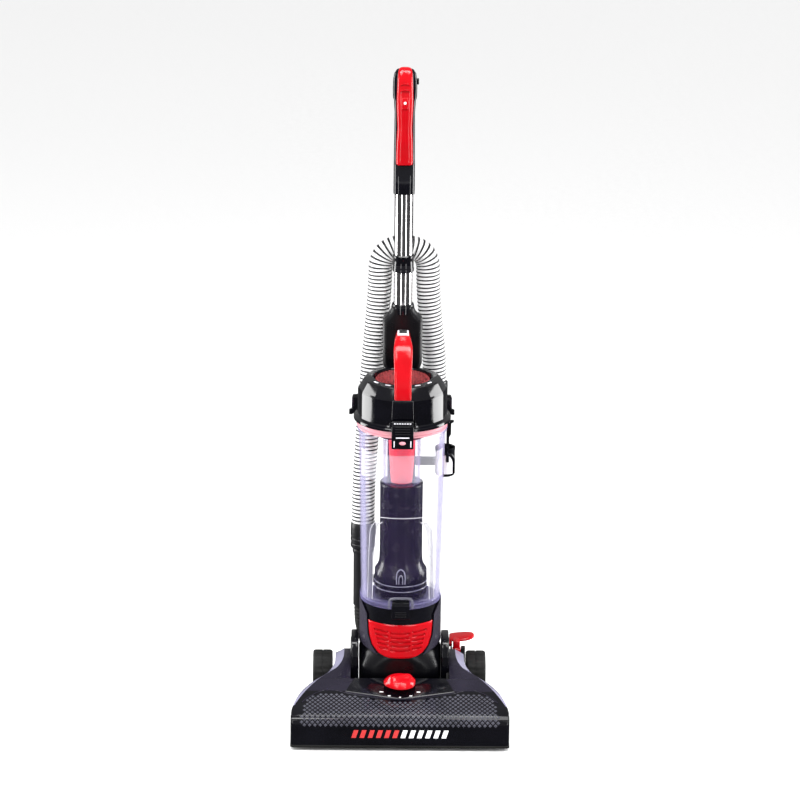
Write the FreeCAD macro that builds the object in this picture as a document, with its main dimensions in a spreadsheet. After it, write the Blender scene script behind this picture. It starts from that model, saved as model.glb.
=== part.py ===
import FreeCAD, Part
import math
import os
import re

import Sketcher

# Upright vacuum cleaner, standing upright on its wheels and front rollers. Millimetres.
# X points right, +Y points to the back, +Z up. The nozzle's front edge is at -Y.
# The origin is on the floor, in the middle of the length and width, under the dust cup's axis.

DIMS = [
    # shared
    ("wall", 2.4), ("slack", 0.06),
    # floor head
    ("head_half", 171), ("head_front", 153), ("head_base", 8), ("face_top", 56), ("sole_low", 5),
    ("bumper_half", 172.5), ("bumper_front", 155), ("recess_half", 78), ("recess_front", 65),
    ("shoulder_half", 103), ("shoulder_top", 100), ("tail_back", 110), ("tail_top", 60),
    ("pivot_z", 98), ("trunnion_r", 20), ("arm_in", 65.8), ("arm_out", 73), ("arm_r", 40),
    ("wheel_r", 37), ("wheel_y", 78), ("wheel_in", 108), ("wheel_out", 140), ("axle_r", 4),
    ("brush_y", 111), ("brush_z", 27), ("brush_r", 19), ("bristle_r", 25), ("brush_half", 150),
    ("belt_in", 73.8), ("belt_out", 77.6), ("belt_thick", 1.5), ("motor_pulley_r", 7),
    ("brush_pulley_r", 15),
    ("roller_r", 9), ("roller_y", 77), ("roller_x", 48), ("roller_half", 7),
    ("knob_y", 87), ("knob_r", 24), ("knob_low", 86), ("knob_top", 95),
    ("pedal_y", 52), ("pedal_z", 86), ("pedal_mid", 92), ("pad_low", 97), ("pad_top", 106),
    ("spring_r", 4.6), ("spring_y", 77), ("spring_low", 63.6), ("spring_wire", 0.7),
    ("spring_pitch", 5.6),
    # motor base
    ("house_half", 62), ("house_r", 60), ("drum_top", 118), ("base_r", 62.5), ("base_top", 176),
    ("band_top", 201),
    ("cheek_r", 65), ("cheek_low", 122), ("grille_half", 51), ("grille_low", 119), ("grille_r", 65.5),
    ("stator_r", 44), ("rotor_r", 28), ("shaft_r", 4), ("fan_r", 44),
    # spine, tube and handle
    ("spine_half", 22), ("spine_front", 71), ("spine_back", 94), ("spine_low", 150), ("spine_top", 553),
    ("neck_half", 31.5), ("neck_front", 69.8), ("neck_back", 100), ("neck_top", 636), ("neck_mouth", 660),
    ("tube_r", 14.5), ("tube_wall", 1.2), ("tube_y", 85.5), ("tube_low", 602), ("tube_split", 726.5),
    ("tube_top", 850), ("collar_low", 712.7), ("collar_top", 740.7), ("collar_r", 16.3),
    ("handle_low", 839.5), ("grip_low", 887), ("grip_top", 1038.5), ("grip_half", 13),
    ("handle_half", 16.5),
    ("hook_back", 155), ("hook_top_z", 440), ("hook_low_z", 300),
    # dust cup and lid
    ("cup_low", 206), ("cup_top", 487), ("cup_low_r", 64), ("cup_top_r", 69.6), ("cup_wall", 2.2),
    ("lid_low", 499), ("lid_r", 69.6), ("rim_r", 76), ("lid_shoulder", 551), ("lid_top", 567.5),
    ("lid_back", 68.7), ("filter_r", 43), ("shroud_r", 34), ("flare_r", 41.5), ("inner_r", 29.5),
    ("latch_half", 17.5), ("carry_half", 14.5), ("pin_r", 1), ("clip_y", 79.2), ("clip_z", 513),
    ("lever_y", 68.8), ("lever_z", 213.5), ("arch_half", 50), ("arch_top", 359),
    # hose
    ("hose_r", 19), ("port_x", 52), ("port_y", 122), ("port_top", 520),
    ("cuff_x", 60), ("cuff_y", 95), ("cuff_low", 249), ("cuff_top", 292),
    ("socket_x", 70), ("socket_y", 90.5), ("socket_r", 14), ("socket_low", 374), ("socket_top", 422),
]

# The stretch hose's centre line, from its port on the right, over the peg, to its cuff on the left.
HOSE_ROUTE = [
    (52, 122, 502), (52, 122, 560), (45, 122, 616), (40, 122, 672), (39, 122, 742), (-35, 122, 742),
    (-36, 121, 672), (-42, 119, 602), (-48, 114, 532), (-53, 107, 462), (-57, 100, 395), (-60, 95, 340),
    (-60, 95, 292),
]

# Where the sole plate's screws go on the right side; the left side mirrors them.
SCREW_PLACES = [("145", "-brush_y + 30"), ("156", "-143"), ("91", "20"), ("91", "100")]

doc = FreeCAD.newDocument("upright_vacuum")
sheet = doc.addObject("Spreadsheet::Sheet", "Dims")
parts = []


def fill_sheet():
    for row, (alias, value) in enumerate(DIMS, start=1):
        sheet.set(f"A{row}", str(value))
        sheet.setAlias(f"A{row}", alias)
    doc.recompute()


ALIASES = {alias for alias, _ in DIMS}


def linked(text):
    """Spell an expression with the sheet's name in front of each alias."""
    return re.sub(r"[a-z_]+", lambda m: "Dims." + m.group() if m.group() in ALIASES else m.group(), str(text))


def size(text):
    """The present value of an expression, in mm."""
    value = sheet.evalExpression(linked(text))
    return float(getattr(value, "Value", value))


def bind(obj, **expressions):
    for prop, text in expressions.items():
        obj.setExpression(prop.replace("_", "."), linked(text))


def place(obj, x=0, y=0, z=0):
    obj.setExpression("Placement.Base.x", linked(x))
    obj.setExpression("Placement.Base.y", linked(y))
    obj.setExpression("Placement.Base.z", linked(z))


def turn(axis):
    """The rotation that lays a shape made along Z along another axis."""
    turns = {"X": ((0, 1, 0), 90), "Y": ((1, 0, 0), -90), "Z": ((0, 0, 1), 0)}
    vector, angle = turns[axis]
    return FreeCAD.Rotation(FreeCAD.Vector(*vector), angle)


def part(obj, name):
    """Keep an object as the finished sub-part of that name."""
    obj.Label = name
    parts.append(obj)
    return obj


def box(x0, x1, y0, y1, z0, z1):
    obj = doc.addObject("Part::Box", "Block")
    bind(obj, Length=f"({x1}) - ({x0})", Width=f"({y1}) - ({y0})", Height=f"({z1}) - ({z0})")
    place(obj, x0, y0, z0)
    return obj


def rod(axis, x, y, z, radius, length):
    """A cylinder that starts at x, y, z and runs along +axis."""
    obj = doc.addObject("Part::Cylinder", "Rod")
    bind(obj, Radius=radius, Height=length)
    obj.Placement = FreeCAD.Placement(FreeCAD.Vector(), turn(axis))
    place(obj, x, y, z)
    return obj


def cone(x, y, z, low_r, high_r, length):
    obj = doc.addObject("Part::Cone", "Taper")
    bind(obj, Radius1=low_r, Radius2=high_r, Height=length)
    place(obj, x, y, z)
    return obj


def fuse(*shapes):
    obj = doc.addObject("Part::MultiFuse", "Joined")
    obj.Shapes = list(shapes)
    return obj


def common(base, tool):
    obj = doc.addObject("Part::Common", "Shared")
    obj.Base = base
    obj.Tool = tool
    return obj


def cut(base, *tools):
    for tool in tools:
        obj = doc.addObject("Part::Cut", "Trimmed")
        obj.Base = base
        obj.Tool = tool
        base = obj
    return base


def tube(axis, x, y, z, outer, inner, length):
    return cut(rod(axis, x, y, z, outer, length), rod(axis, x, y, z, inner, length))


def mirrored(shape):
    """The same shape on the left side."""
    obj = doc.addObject("Part::Mirroring", "Mirrored")
    obj.Source = shape
    obj.Normal = FreeCAD.Vector(1, 0, 0)
    obj.Base = FreeCAD.Vector(0, 0, 0)
    return obj


def swung(shape, angle, y, z):
    """A shape made round the X axis, turned by an angle and set at y, z."""
    holder = doc.addObject("Part::Compound", "Swung")
    holder.Links = [shape]
    spin = FreeCAD.Rotation(FreeCAD.Vector(1, 0, 0), angle)
    holder.Placement = FreeCAD.Placement(FreeCAD.Vector(), spin)
    place(holder, 0, y, z)
    return holder


def outline(body, plane, points):
    """A closed sketch through points given as pairs of expressions, each tied to the sheet."""
    sketch = body.newObject("Sketcher::SketchObject", "Outline")
    support = [f for f in body.Origin.OriginFeatures if f.Role == plane][0]
    sketch.AttachmentSupport = [(support, "")]
    sketch.MapMode = "FlatFace"
    start = [FreeCAD.Vector(size(x), size(y), 0) for x, y in points]
    count = len(points)
    for i in range(count):
        sketch.addGeometry(Part.LineSegment(start[i], start[(i + 1) % count]), False)
    for i in range(count):
        sketch.addConstraint(Sketcher.Constraint("Coincident", i, 2, (i + 1) % count, 1))
    for i, point in enumerate(points):
        for kind, text, value in zip(("DistanceX", "DistanceY"), point, (start[i].x, start[i].y)):
            if abs(value) < 1e-9:
                axis = -2 if kind == "DistanceX" else -1
                sketch.addConstraint(Sketcher.Constraint("PointOnObject", i, 1, axis))
                continue
            number = sketch.addConstraint(Sketcher.Constraint(kind, -1, 1, i, 1, value))
            sketch.setExpression(f"Constraints[{number}]", linked(text))
    return sketch


def slab(plane, points, start, end):
    """An outline padded from start to end along the plane's normal axis."""
    body = doc.addObject("PartDesign::Body", "Slab")
    pad = body.newObject("PartDesign::Pad", "Pad")
    pad.Profile = outline(body, plane, points)
    bind(pad, Length=f"({end}) - ({start})")
    along = {"XY_Plane": "z", "YZ_Plane": "x", "XZ_Plane": "y"}[plane]
    if along == "y":
        pad.Reversed = True
    place(body, **{along: start})
    body.Tip = pad
    return body


def spun(points, axis="Z", x=0, y=0, z=0):
    """A half outline of (radius, height) pairs turned once round its axis."""
    body = doc.addObject("PartDesign::Body", "Spun")
    feature = body.newObject("PartDesign::Revolution", "Revolution")
    sketch = outline(body, "XZ_Plane", points)
    feature.Profile = sketch
    feature.ReferenceAxis = (sketch, ["V_Axis"])
    feature.Angle = 360
    body.Tip = feature
    body.Placement = FreeCAD.Placement(FreeCAD.Vector(), turn(axis))
    place(body, x, y, z)
    return body


def rounded(body, radius, chosen):
    """Fillet the edges of a body that the test picks."""
    doc.recompute()
    base = body.Tip
    names = [f"Edge{i}" for i, edge in enumerate(base.Shape.Edges, start=1) if chosen(edge)]
    fillet = body.newObject("PartDesign::Fillet", "Fillet")
    fillet.Base = (base, names)
    fillet.Radius = radius
    body.Tip = fillet
    return body


def both_sides(right):
    """A plan outline from its right half, listed from front to back."""
    left = [(f"-({x})", y) for x, y in reversed(right)]
    return right + left


# ---------------------------------------------------------------- floor head

def head_plan(inset):
    """The nozzle's plan: wide at the brush, then two narrow tails beside the motor's recess."""
    return both_sides([
        (f"head_half - 4 - {inset}", f"-head_front + {inset}"),
        (f"head_half - {inset}", f"-head_front + 4 + {inset}"),
        (f"head_half - 2 - {inset}", "-120"),
        (f"head_half - 13 - {inset}", "-88"),
        (f"head_half - 28 - {inset}", "-62"),
        (f"shoulder_half + 22 - {inset}", f"-50 - {inset}"),
        (f"shoulder_half + 6 - {inset}", f"-38 - {inset}"),
        (f"shoulder_half - {inset}", f"-16 - {inset}"),
        (f"shoulder_half - {inset}", f"tail_back - {inset}"),
        (f"recess_half + {inset}", f"tail_back - {inset}"),
        (f"recess_half + {inset}", f"-recess_front - {inset}"),
    ])


def head_profile(drop):
    """The nozzle's side view: low front face, textured slope, deck, shoulders and tails."""
    return [
        ("-head_front", "0"), ("-head_front", f"face_top - 8 - {drop}"),
        ("-head_front + 4", f"face_top - {drop}"),
        ("-98", f"74 - {drop}"), ("-68", f"84 - {drop}"), ("-40", f"93 - {drop}"),
        ("-14", f"shoulder_top - {drop}"),
        ("24", f"shoulder_top + 1 - {drop}"), ("36", f"88 - {drop}"), ("44", f"66 - {drop}"),
        ("tail_back - 8", f"tail_top - 2 - {drop}"), ("tail_back", f"tail_top - 20 - {drop}"),
        ("tail_back", "0"),
    ]


def head_form(inset, low):
    plan = slab("XY_Plane", head_plan(inset), low, "shoulder_top + 10")
    side = slab("YZ_Plane", head_profile(inset), "-head_half - 5", "head_half + 5")
    return common(plan, side)


def nozzle_cover():
    """The top shell of the nozzle, open underneath, with holes for the belt, duct, dial and axle."""
    shell = cut(head_form("0", "head_base"), head_form("wall", "head_base - 1"))
    belt_slot = box("arm_out - 1", "recess_half", "-recess_front - 4", "-recess_front + 1", "12", "74")
    duct_mouth = box("-56", "-20", "-recess_front - 4", "-recess_front + 1", "head_base - 1", "32")
    stem_hole = rod("Z", 0, "-knob_y", "60", "6", "40")
    axle_hole = rod("X", "-wheel_in", "wheel_y", "wheel_r", "axle_r + slack", "2 * wheel_in")
    part(cut(shell, belt_slot, duct_mouth, stem_hole, axle_hole), "nozzle_cover")


def sole_plate():
    """The bottom plate, with the brush window, the roller notches and the screw holes."""
    plate = slab("XY_Plane", head_plan("0"), "sole_low", "head_base")
    low, high = "sole_low - 1", "head_base + 1"
    window = box("-brush_half - 4", "brush_half + 4", "-brush_y - 28", "-brush_y + 23", low, high)
    notches = [
        box(x0, x1, "-roller_y - roller_r - 1", "-recess_front - 1.5", low, high)
        for x0, x1 in (("roller_x - 11", "roller_x + 13"), ("-roller_x - 13", "-roller_x + 11"))
    ]
    holes = []
    for x, y in SCREW_PLACES:
        hole = rod("Z", x, y, "sole_low - 1", "1.5 + slack", "10")
        holes += [hole, mirrored(hole)]
    part(cut(plate, window, *notches, fuse(*holes)), "sole_plate")


def front_bumper():
    """The soft strip round the foot of the nozzle's front."""
    strip = both_sides([
        ("bumper_half - 4.5", "-bumper_front"), ("bumper_half", "-bumper_front + 4.5"),
        ("bumper_half", "-126"),
        ("head_half + 0.1", "-126"), ("head_half + 0.1", "-head_front + 4"),
        ("head_half - 4", "-head_front - 0.1"),
    ])
    part(slab("XY_Plane", strip, "sole_low", "sole_low + 9"), "front_bumper")


def texture_panel():
    """The thin patterned skin on the front slope, notched for the dial panel."""
    slope = slab("YZ_Plane", [
        ("-head_front + 5", "face_top + 0.4"), ("-98", "74.1"),
        ("-98", "75.3"), ("-head_front + 5", "face_top + 1.6"),
    ], "-head_half", "head_half")
    plan = slab("XY_Plane", both_sides([
        ("158", "-head_front + 5"), ("137", "-98"), ("86", "-98"), ("50", "-106"), ("16", "-111"),
    ]), "40", "90")
    part(common(slope, plan), "texture_panel")


def dial_panel():
    """The raised panel that carries the height dial."""
    rise = slab("YZ_Plane", [
        ("-111", "70"), ("-98", "74.1"), ("-68", "84.1"), ("-recess_front - 0.5", "84.9"),
        ("-recess_front - 0.5", "85.6"), ("-90", "83.6"), ("-101", "80"), ("-111", "72"),
    ], "-head_half", "head_half")
    plan = slab("XY_Plane", both_sides([
        ("16", "-110.8"), ("50", "-105.8"), ("84", "-97.8"), ("recess_half + 1", "-82"),
        ("68", "-recess_front - 0.5"),
    ]), "60", "100")
    below = rod("Z", 0, "-knob_y", "60", "axle_r + slack", "40")
    under = slab("YZ_Plane", [
        ("-112", "60"), ("-112", "69.6"), ("-98", "74.05"), ("-68", "84.05"), ("-60", "86.7"),
        ("-60", "60"),
    ], "-head_half", "head_half")
    part(cut(common(rise, plan), under, below), "dial_panel")


def yoke_arm(name, side):
    """One of the two plates that carry the upright body on its trunnions."""
    blade = slab("YZ_Plane", [
        ("-34", "10"), ("34", "10"), ("arm_r", "70"), ("arm_r", "pivot_z + 14"), ("26", "pivot_z + 36"),
        ("12", "pivot_z + arm_r"), ("-12", "pivot_z + arm_r"), ("-26", "pivot_z + 36"),
        ("-arm_r", "pivot_z + 14"), ("-arm_r", "70"),
    ], "arm_in", "arm_out")
    foot = box("arm_in", "recess_half", "-30", "30", "10", "26")
    bore = rod("X", "arm_in - 1", 0, "pivot_z", "trunnion_r + slack", "10")
    arm = cut(fuse(blade, foot), bore)
    part(arm if side > 0 else mirrored(arm), name)


def wheel_axles():
    """The two stub axles, each with its collar, in the cover's tails."""
    right = fuse(
        rod("X", "recess_half + 6", "wheel_y", "wheel_r", "axle_r", "wheel_out - recess_half - 8"),
        rod("X", "recess_half + 4", "wheel_y", "wheel_r", "axle_r + 4", "8"),
    )
    part(fuse(right, mirrored(right)), "wheel_axles")


def suction_duct():
    """The flat channel under the motor that carries the dirt from the brush chamber to the back."""
    outer = fuse(
        box("-58", "-18", "-recess_front + 0.2", "66", "head_base + 1", "33"),
        rod("Y", "-38", "65", "21", "12", "15"),
    )
    hollow = fuse(
        box("-56", "-20", "-recess_front", "62", "head_base + 3", "31"),
        rod("Y", "-38", "60", "21", "10", "30"),
    )
    part(cut(outer, hollow), "suction_duct")


def belt_loop(thickness):
    """The convex face round both pulleys, at a given height over them."""
    big = size("brush_pulley_r") + thickness
    small = size("motor_pulley_r") + thickness
    low = FreeCAD.Vector(0, -size("brush_y"), size("brush_z"))
    high = FreeCAD.Vector(0, 0, size("pivot_z"))
    along = (high - low).normalize()
    across = FreeCAD.Vector(1, 0, 0).cross(along)
    lean = (big - small) / low.distanceToPoint(high)
    level = math.sqrt(1 - lean * lean)
    ends = []
    for side in (1, -1):
        normal = along * lean + across * (side * level)
        ends.append((low + normal * big, high + normal * small))
    (low_a, high_a), (low_b, high_b) = ends
    edges = [
        Part.LineSegment(low_a, high_a).toShape(),
        Part.Arc(high_a, high + along * small, high_b).toShape(),
        Part.LineSegment(high_b, low_b).toShape(),
        Part.Arc(low_b, low - along * big, low_a).toShape(),
    ]
    return Part.Face(Part.Wire(edges))


def drive_belt():
    """The belt from the motor's pulley to the brush roll."""
    band = doc.addObject("Part::Feature", "Belt")
    width = FreeCAD.Vector(size("belt_out - belt_in"), 0, 0)
    inner = 0.3
    loop = belt_loop(inner + size("belt_thick")).extrude(width).cut(belt_loop(inner).extrude(width))
    band.Shape = loop
    band.Placement = FreeCAD.Placement(FreeCAD.Vector(size("belt_in"), 0, 0), FreeCAD.Rotation())
    part(band, "drive_belt")


def brush_bearings():
    """The end caps that hold the brush roll's stub shafts."""
    across = ("-brush_y - 12", "-brush_y + 12")
    cap = cut(
        box("brush_half + 1.5", "brush_half + 8", *across, "head_base", "brush_z + 12"),
        rod("X", "brush_half", "-brush_y", "brush_z", "axle_r + slack", "20"),
    )
    part(fuse(cap, mirrored(cap)), "brush_bearings")


def sole_screws():
    """Pan head screws that hold the sole plate under the cover."""
    screws = []
    for x, y in SCREW_PLACES:
        screw = fuse(rod("Z", x, y, "sole_low - 1.5", "3", "1.5"), rod("Z", x, y, "sole_low", "1.5", "2.9"))
        screws += [screw, mirrored(screw)]
    part(fuse(*screws), "sole_screws")


def pedal_bracket():
    """Two ears and a pin on the right tail that carry the pedal."""
    ears = [
        box(x0, x1, "pedal_y - 6", "pedal_y + 6", "66.5", "pedal_z + 6")
        for x0, x1 in (("pedal_mid - 10", "pedal_mid - 7"), ("pedal_mid + 7", "pedal_mid + 10"))
    ]
    pin = rod("X", "pedal_mid - 10", "pedal_y", "pedal_z", "3", "20")
    part(fuse(*ears, pin), "pedal_bracket")


def release_pedal():
    """The foot pedal that frees the upright body, on a cross pin behind the right shoulder."""
    pad = slab("XY_Plane", [
        ("80", "pedal_y + 6"), ("116", "pedal_y + 6"), ("121.5", "pedal_y + 14"),
        ("121.5", "pedal_y + 34"),
        ("114", "pedal_y + 40"), ("84", "pedal_y + 40"), ("80", "pedal_y + 34"),
    ], "pad_low", "pad_top")
    pad = rounded(pad, 3, lambda e: e.BoundBox.ZMin > size("pad_top - pad_low") - 0.1)
    arm = box("pedal_mid - 6", "pedal_mid + 6", "pedal_y - 4", "pedal_y + 14", "pedal_z", "pad_low + 1")
    hub = rod("X", "pedal_mid - 6.5", "pedal_y", "pedal_z", "6.5", "13")
    bore = rod("X", "pedal_mid - 12", "pedal_y", "pedal_z", "3 + slack", "24")
    part(cut(fuse(pad, arm, hub), bore), "release_pedal")


def pedal_spring():
    """The coil that holds the pedal up, from the tail of the cover to the pad."""
    helix = doc.addObject("Part::Helix", "Coil")
    bind(helix, Radius="spring_r", Pitch="spring_pitch", Height="pad_low - 2 * spring_wire - spring_low")
    place(helix, "pedal_mid", "spring_y", "spring_low")
    wire = doc.addObject("Part::Circle", "Wire")
    bind(wire, Radius="spring_wire")
    wire.Placement = FreeCAD.Placement(FreeCAD.Vector(), turn("Y"))
    place(wire, "pedal_mid + spring_r", "spring_y", "spring_low")
    coil = doc.addObject("Part::Sweep", "Spring")
    coil.Sections = [wire]
    coil.Spine = (helix, ["Edge1"])
    coil.Solid = True
    coil.Frenet = True
    part(coil, "pedal_spring")


def rear_wheel(name, side):
    """One hollow faced rear wheel."""
    tyre = spun([
        ("axle_r + slack", "0"), ("axle_r + 6", "0"), ("axle_r + 6", "3"), ("wheel_r - 6", "3"),
        ("wheel_r - 4", "0"), ("wheel_r - 1.5", "0"), ("wheel_r", "1.5"),
        ("wheel_r", "wheel_out - wheel_in - 1.5"),
        ("wheel_r - 1.5", "wheel_out - wheel_in"), ("wheel_r - 5", "wheel_out - wheel_in"),
        ("wheel_r - 7", "wheel_out - wheel_in - 4"), ("axle_r + 7", "wheel_out - wheel_in - 4"),
        ("axle_r + 6", "wheel_out - wheel_in - 1"), ("axle_r + slack", "wheel_out - wheel_in - 1"),
    ], "X", "wheel_in", "wheel_y", "wheel_r")
    part(tyre if side > 0 else mirrored(tyre), name)


def height_carriage():
    """The plate that lifts the nozzle: it carries the front rollers and slides up and down."""
    plate = box("-roller_x - 12", "roller_x + 12", "-roller_y - 5", "-roller_y + 7", "19", "22")
    ears = []
    for low, high in (("roller_x - 10.5", "roller_x - 8"), ("roller_x + 8", "roller_x + 12")):
        ear = box(low, high, "-roller_y - 5", "-roller_y + 5", "roller_r - 4", "20")
        ears += [ear, mirrored(ear)]
    pin = rod("X", "roller_x - 10", "-roller_y", "roller_r", "2.5", "21")
    part(fuse(plate, *ears, pin, mirrored(pin)), "height_carriage")


def front_roller(name, x):
    """One small roller under the brush chamber's back."""
    start = f"{x} - roller_half"
    part(tube("X", start, "-roller_y", "roller_r", "roller_r", "2.5 + slack", "2 * roller_half"), name)


def brush_roll():
    """The roll with its stub shafts and the groove that the belt runs in."""
    roll = spun([
        ("0", "-brush_half - 6"), ("axle_r", "-brush_half - 6"), ("axle_r", "-brush_half"),
        ("brush_r", "-brush_half"), ("brush_r", "belt_in - 2"), ("brush_pulley_r", "belt_in - 0.6"),
        ("brush_pulley_r", "belt_out + 0.6"), ("brush_r", "belt_out + 2"), ("brush_r", "brush_half"),
        ("axle_r", "brush_half"), ("axle_r", "brush_half + 6"), ("0", "brush_half + 6"),
    ], "X", 0, "-brush_y", "brush_z")
    part(roll, "brush_roll")


def brush_bristles():
    """Four rows of bristles, each in three lengths that leave the belt's groove free."""
    lengths = [("-brush_half + 4", "-36"), ("-34", "belt_in - 5"), ("belt_out + 5", "brush_half - 4")]
    rows = []
    for step in range(4):
        for x0, x1 in lengths:
            row = box(x0, x1, "-1.6", "1.6", "brush_r", "bristle_r")
            rows.append(swung(row, 90 * step + 45, "-brush_y", "brush_z"))
    group = doc.addObject("Part::Compound", "Bristles")
    group.Links = rows
    part(group, "brush_bristles")


def height_knob():
    """The height dial: a disc with a finger ridge, on a stem through the cover."""
    corners = []
    for step in range(24):
        angle = math.radians(15 * step)
        corners.append((f"{math.cos(angle):.5f} * knob_r", f"{math.sin(angle):.5f} * knob_r"))
    disc = slab("XY_Plane", corners, "knob_low", "knob_top")
    disc = rounded(disc, 1.5, lambda e: e.BoundBox.ZMin > size("knob_top - knob_low") - 0.1)
    grip = box("-knob_r + 3", "knob_r - 3", "-4", "4", "knob_top - 2", "knob_top + 3")
    stem = rod("Z", 0, 0, "74", "axle_r", "knob_low - 73")
    knob = doc.addObject("Part::Compound", "Knob")
    knob.Links = [fuse(disc, grip, stem)]
    place(knob, 0, "-knob_y", 0)
    part(knob, "height_knob")


# ---------------------------------------------------------------- motor base

def base_housing():
    """The motor's casing: a drum across the machine under a round upright base."""
    low = ("-arm_out - 1", "arm_out + 1", "-base_r", "base_r", "0")
    drum = rod("X", "-house_half", 0, "pivot_z", "house_r", "2 * house_half")
    space = rod("X", "-house_half + wall", 0, "pivot_z", "house_r - wall", "2 * (house_half - wall)")
    outer = fuse(
        common(drum, box(*low, "drum_top")),
        rod("Z", 0, 0, "pivot_z", "base_r", "base_top - pivot_z"),
        rod("X", "-arm_out - 0.4", 0, "pivot_z", "trunnion_r", "2 * arm_out + 0.8"),
    )
    hollow = fuse(
        common(space, box(*low, "drum_top - wall")),
        rod("Z", 0, 0, "pivot_z", "base_r - wall", "base_top - pivot_z - wall"),
        rod("X", "-arm_out - 2", 0, "pivot_z", "trunnion_r - 6", "2 * arm_out + 4"),
    )
    window = box("-45", "45", "-base_r - 5", "-30", "127", "170")
    air_hole = rod("Z", 0, 44, "base_top - 5", "12", "10")
    part(cut(outer, hollow, window, air_hole), "base_housing")


def curved_panel(inner, outer, face, low, high):
    """The piece of an upright ring that an outline on the front cuts out."""
    ring = tube("Z", 0, 0, low, outer, inner, f"({high}) - ({low})")
    return common(ring, slab("XZ_Plane", face, "-cheek_r - 6", "-5"))


def exhaust_grille():
    """The red outlet grille, with five rows of slots in three columns."""
    face = both_sides([
        ("26", "grille_low + 1"), ("38", "grille_low + 7"), ("45", "grille_low + 17"),
        ("grille_half - 2", "grille_low + 32"), ("grille_half", "base_top - 0.3"),
    ])
    panel = curved_panel("base_r + 0.2", "grille_r", face, "grille_low - 1", "base_top")
    slots = []
    for row in range(5):
        low = f"base_top - {14 + 7.2 * row:.1f}"
        side_width = 42 - 2 * row
        slots.append(box("-16", "16", "-grille_r - 4", "-50", f"{low} - 3", f"{low}"))
        side = box("20", str(side_width), "-grille_r - 4", "-30", f"{low}", f"{low} + 3")
        slots += [side, mirrored(side)]
    part(cut(panel, fuse(*slots)), "exhaust_grille")


def exhaust_filter():
    """The filter sheet behind the outlet grille."""
    ring = tube("Z", 0, 0, "128", "base_r - wall - 0.4", "base_r - wall - 5", "41")
    part(common(ring, box("-44", "44", "-base_r", "-30", "128", "169")), "exhaust_filter")


def base_band():
    """The black ring that the dust cup stands on."""
    ring = cut(
        rod("Z", 0, 0, "base_top", "base_r", "band_top - base_top"),
        rod("Z", 0, 0, "base_top - 1", "base_r - wall", "band_top - base_top - wall + 1"),
        rod("Z", 0, 44, "band_top - 5", "12", "10"),
    )
    part(ring, "base_band")


def cradle_cheeks():
    """The two grey side pieces, pointed at the top, that cradle the cup's foot."""
    face = [
        ("36", "cheek_low"), ("cheek_r + 2", "cheek_low + 10"), ("cheek_r + 2", "band_top"),
        ("cheek_r - 3", "band_top"), ("grille_half + 2", "band_top - 17"),
        ("grille_half + 2", "base_top"),
        ("grille_half + 0.4", "grille_low + 32"), ("46.2", "grille_low + 17"), ("39", "grille_low + 6.5"),
    ]
    ring = tube("Z", 0, 0, "cheek_low", "cheek_r", "base_r + 0.2", "band_top - cheek_low")
    right = common(ring, slab("XZ_Plane", face, "-cheek_r - 6", "30"))
    part(fuse(right, mirrored(right)), "cradle_cheeks")


def motor_stator():
    """The motor's can, held in the casing by three lugs."""
    can = cut(
        rod("X", "-25", 0, "pivot_z", "stator_r", "62"),
        rod("X", "-22", 0, "pivot_z", "rotor_r + 0.6", "56"),
        rod("X", "-40", 0, "pivot_z", "shaft_r + slack", "90"),
    )
    lugs = []
    for step in range(3):
        lug = box("-10", "10", "-5", "5", "stator_r - 3", "house_r - wall - 0.4")
        lugs.append(swung(lug, 120 * step + 180, 0, "pivot_z"))
    part(fuse(can, *lugs), "motor_stator")


def motor_rotor():
    """The armature and its shaft, which ends in the belt's small pulley."""
    rotor = spun([
        ("0", "-46"), ("shaft_r", "-46"), ("shaft_r", "-20"), ("rotor_r - 6", "-18"), ("rotor_r", "-13"),
        ("rotor_r", "25"), ("rotor_r - 6", "30"), ("shaft_r", "32"), ("shaft_r", "belt_in - 0.2"),
        ("motor_pulley_r", "belt_in"), ("motor_pulley_r", "belt_out"), ("0", "belt_out"),
    ], "X", 0, 0, "pivot_z")
    part(rotor, "motor_rotor")


def fan_impeller():
    """The fan on the motor's shaft: two discs, a hub and eight blades."""
    disc = tube("X", "-44", 0, "pivot_z", "fan_r", "shaft_r + 0.02", "3")
    front = tube("X", "-30", 0, "pivot_z", "fan_r", "16", "2")
    hub = tube("X", "-44", 0, "pivot_z", "9", "shaft_r + 0.02", "12")
    blades = []
    for step in range(8):
        blade = box("-42", "-29", "-1", "1", "15.5", "fan_r - 1")
        blades.append(swung(blade, 45 * step, 0, "pivot_z"))
    part(fuse(disc, front, hub, *blades), "fan_impeller")


# ---------------------------------------------------------------- spine, tube and handle

def rear_spine():
    """The hollow column behind the cup, from the motor base to the neck."""
    column = fuse(
        box("-spine_half", "spine_half", "spine_front", "spine_back", "spine_low", "spine_top"),
        box("-spine_half", "spine_half", "50", "spine_back", "spine_low", "band_top - 6"),
    )
    inside = ("-spine_half + wall", "spine_half - wall")
    hollow = fuse(
        box(*inside, "spine_front + wall", "spine_back - wall", "spine_low + wall", "spine_top + 1"),
        box(*inside, "50", "spine_back - wall", "spine_low + wall", "band_top - 6 - wall"),
    )
    core = rod("Z", 0, 0, "100", "base_r + 0.2", "200")
    pivot = rod("Y", 0, "spine_back - 10", "hook_top_z", "axle_r + slack", "20")
    intake = box("spine_half - 5", "spine_half + 5", "spine_front + 8", "spine_back - 3", "476", "490")
    part(cut(column, hollow, core, pivot, intake), "rear_spine")


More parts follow.
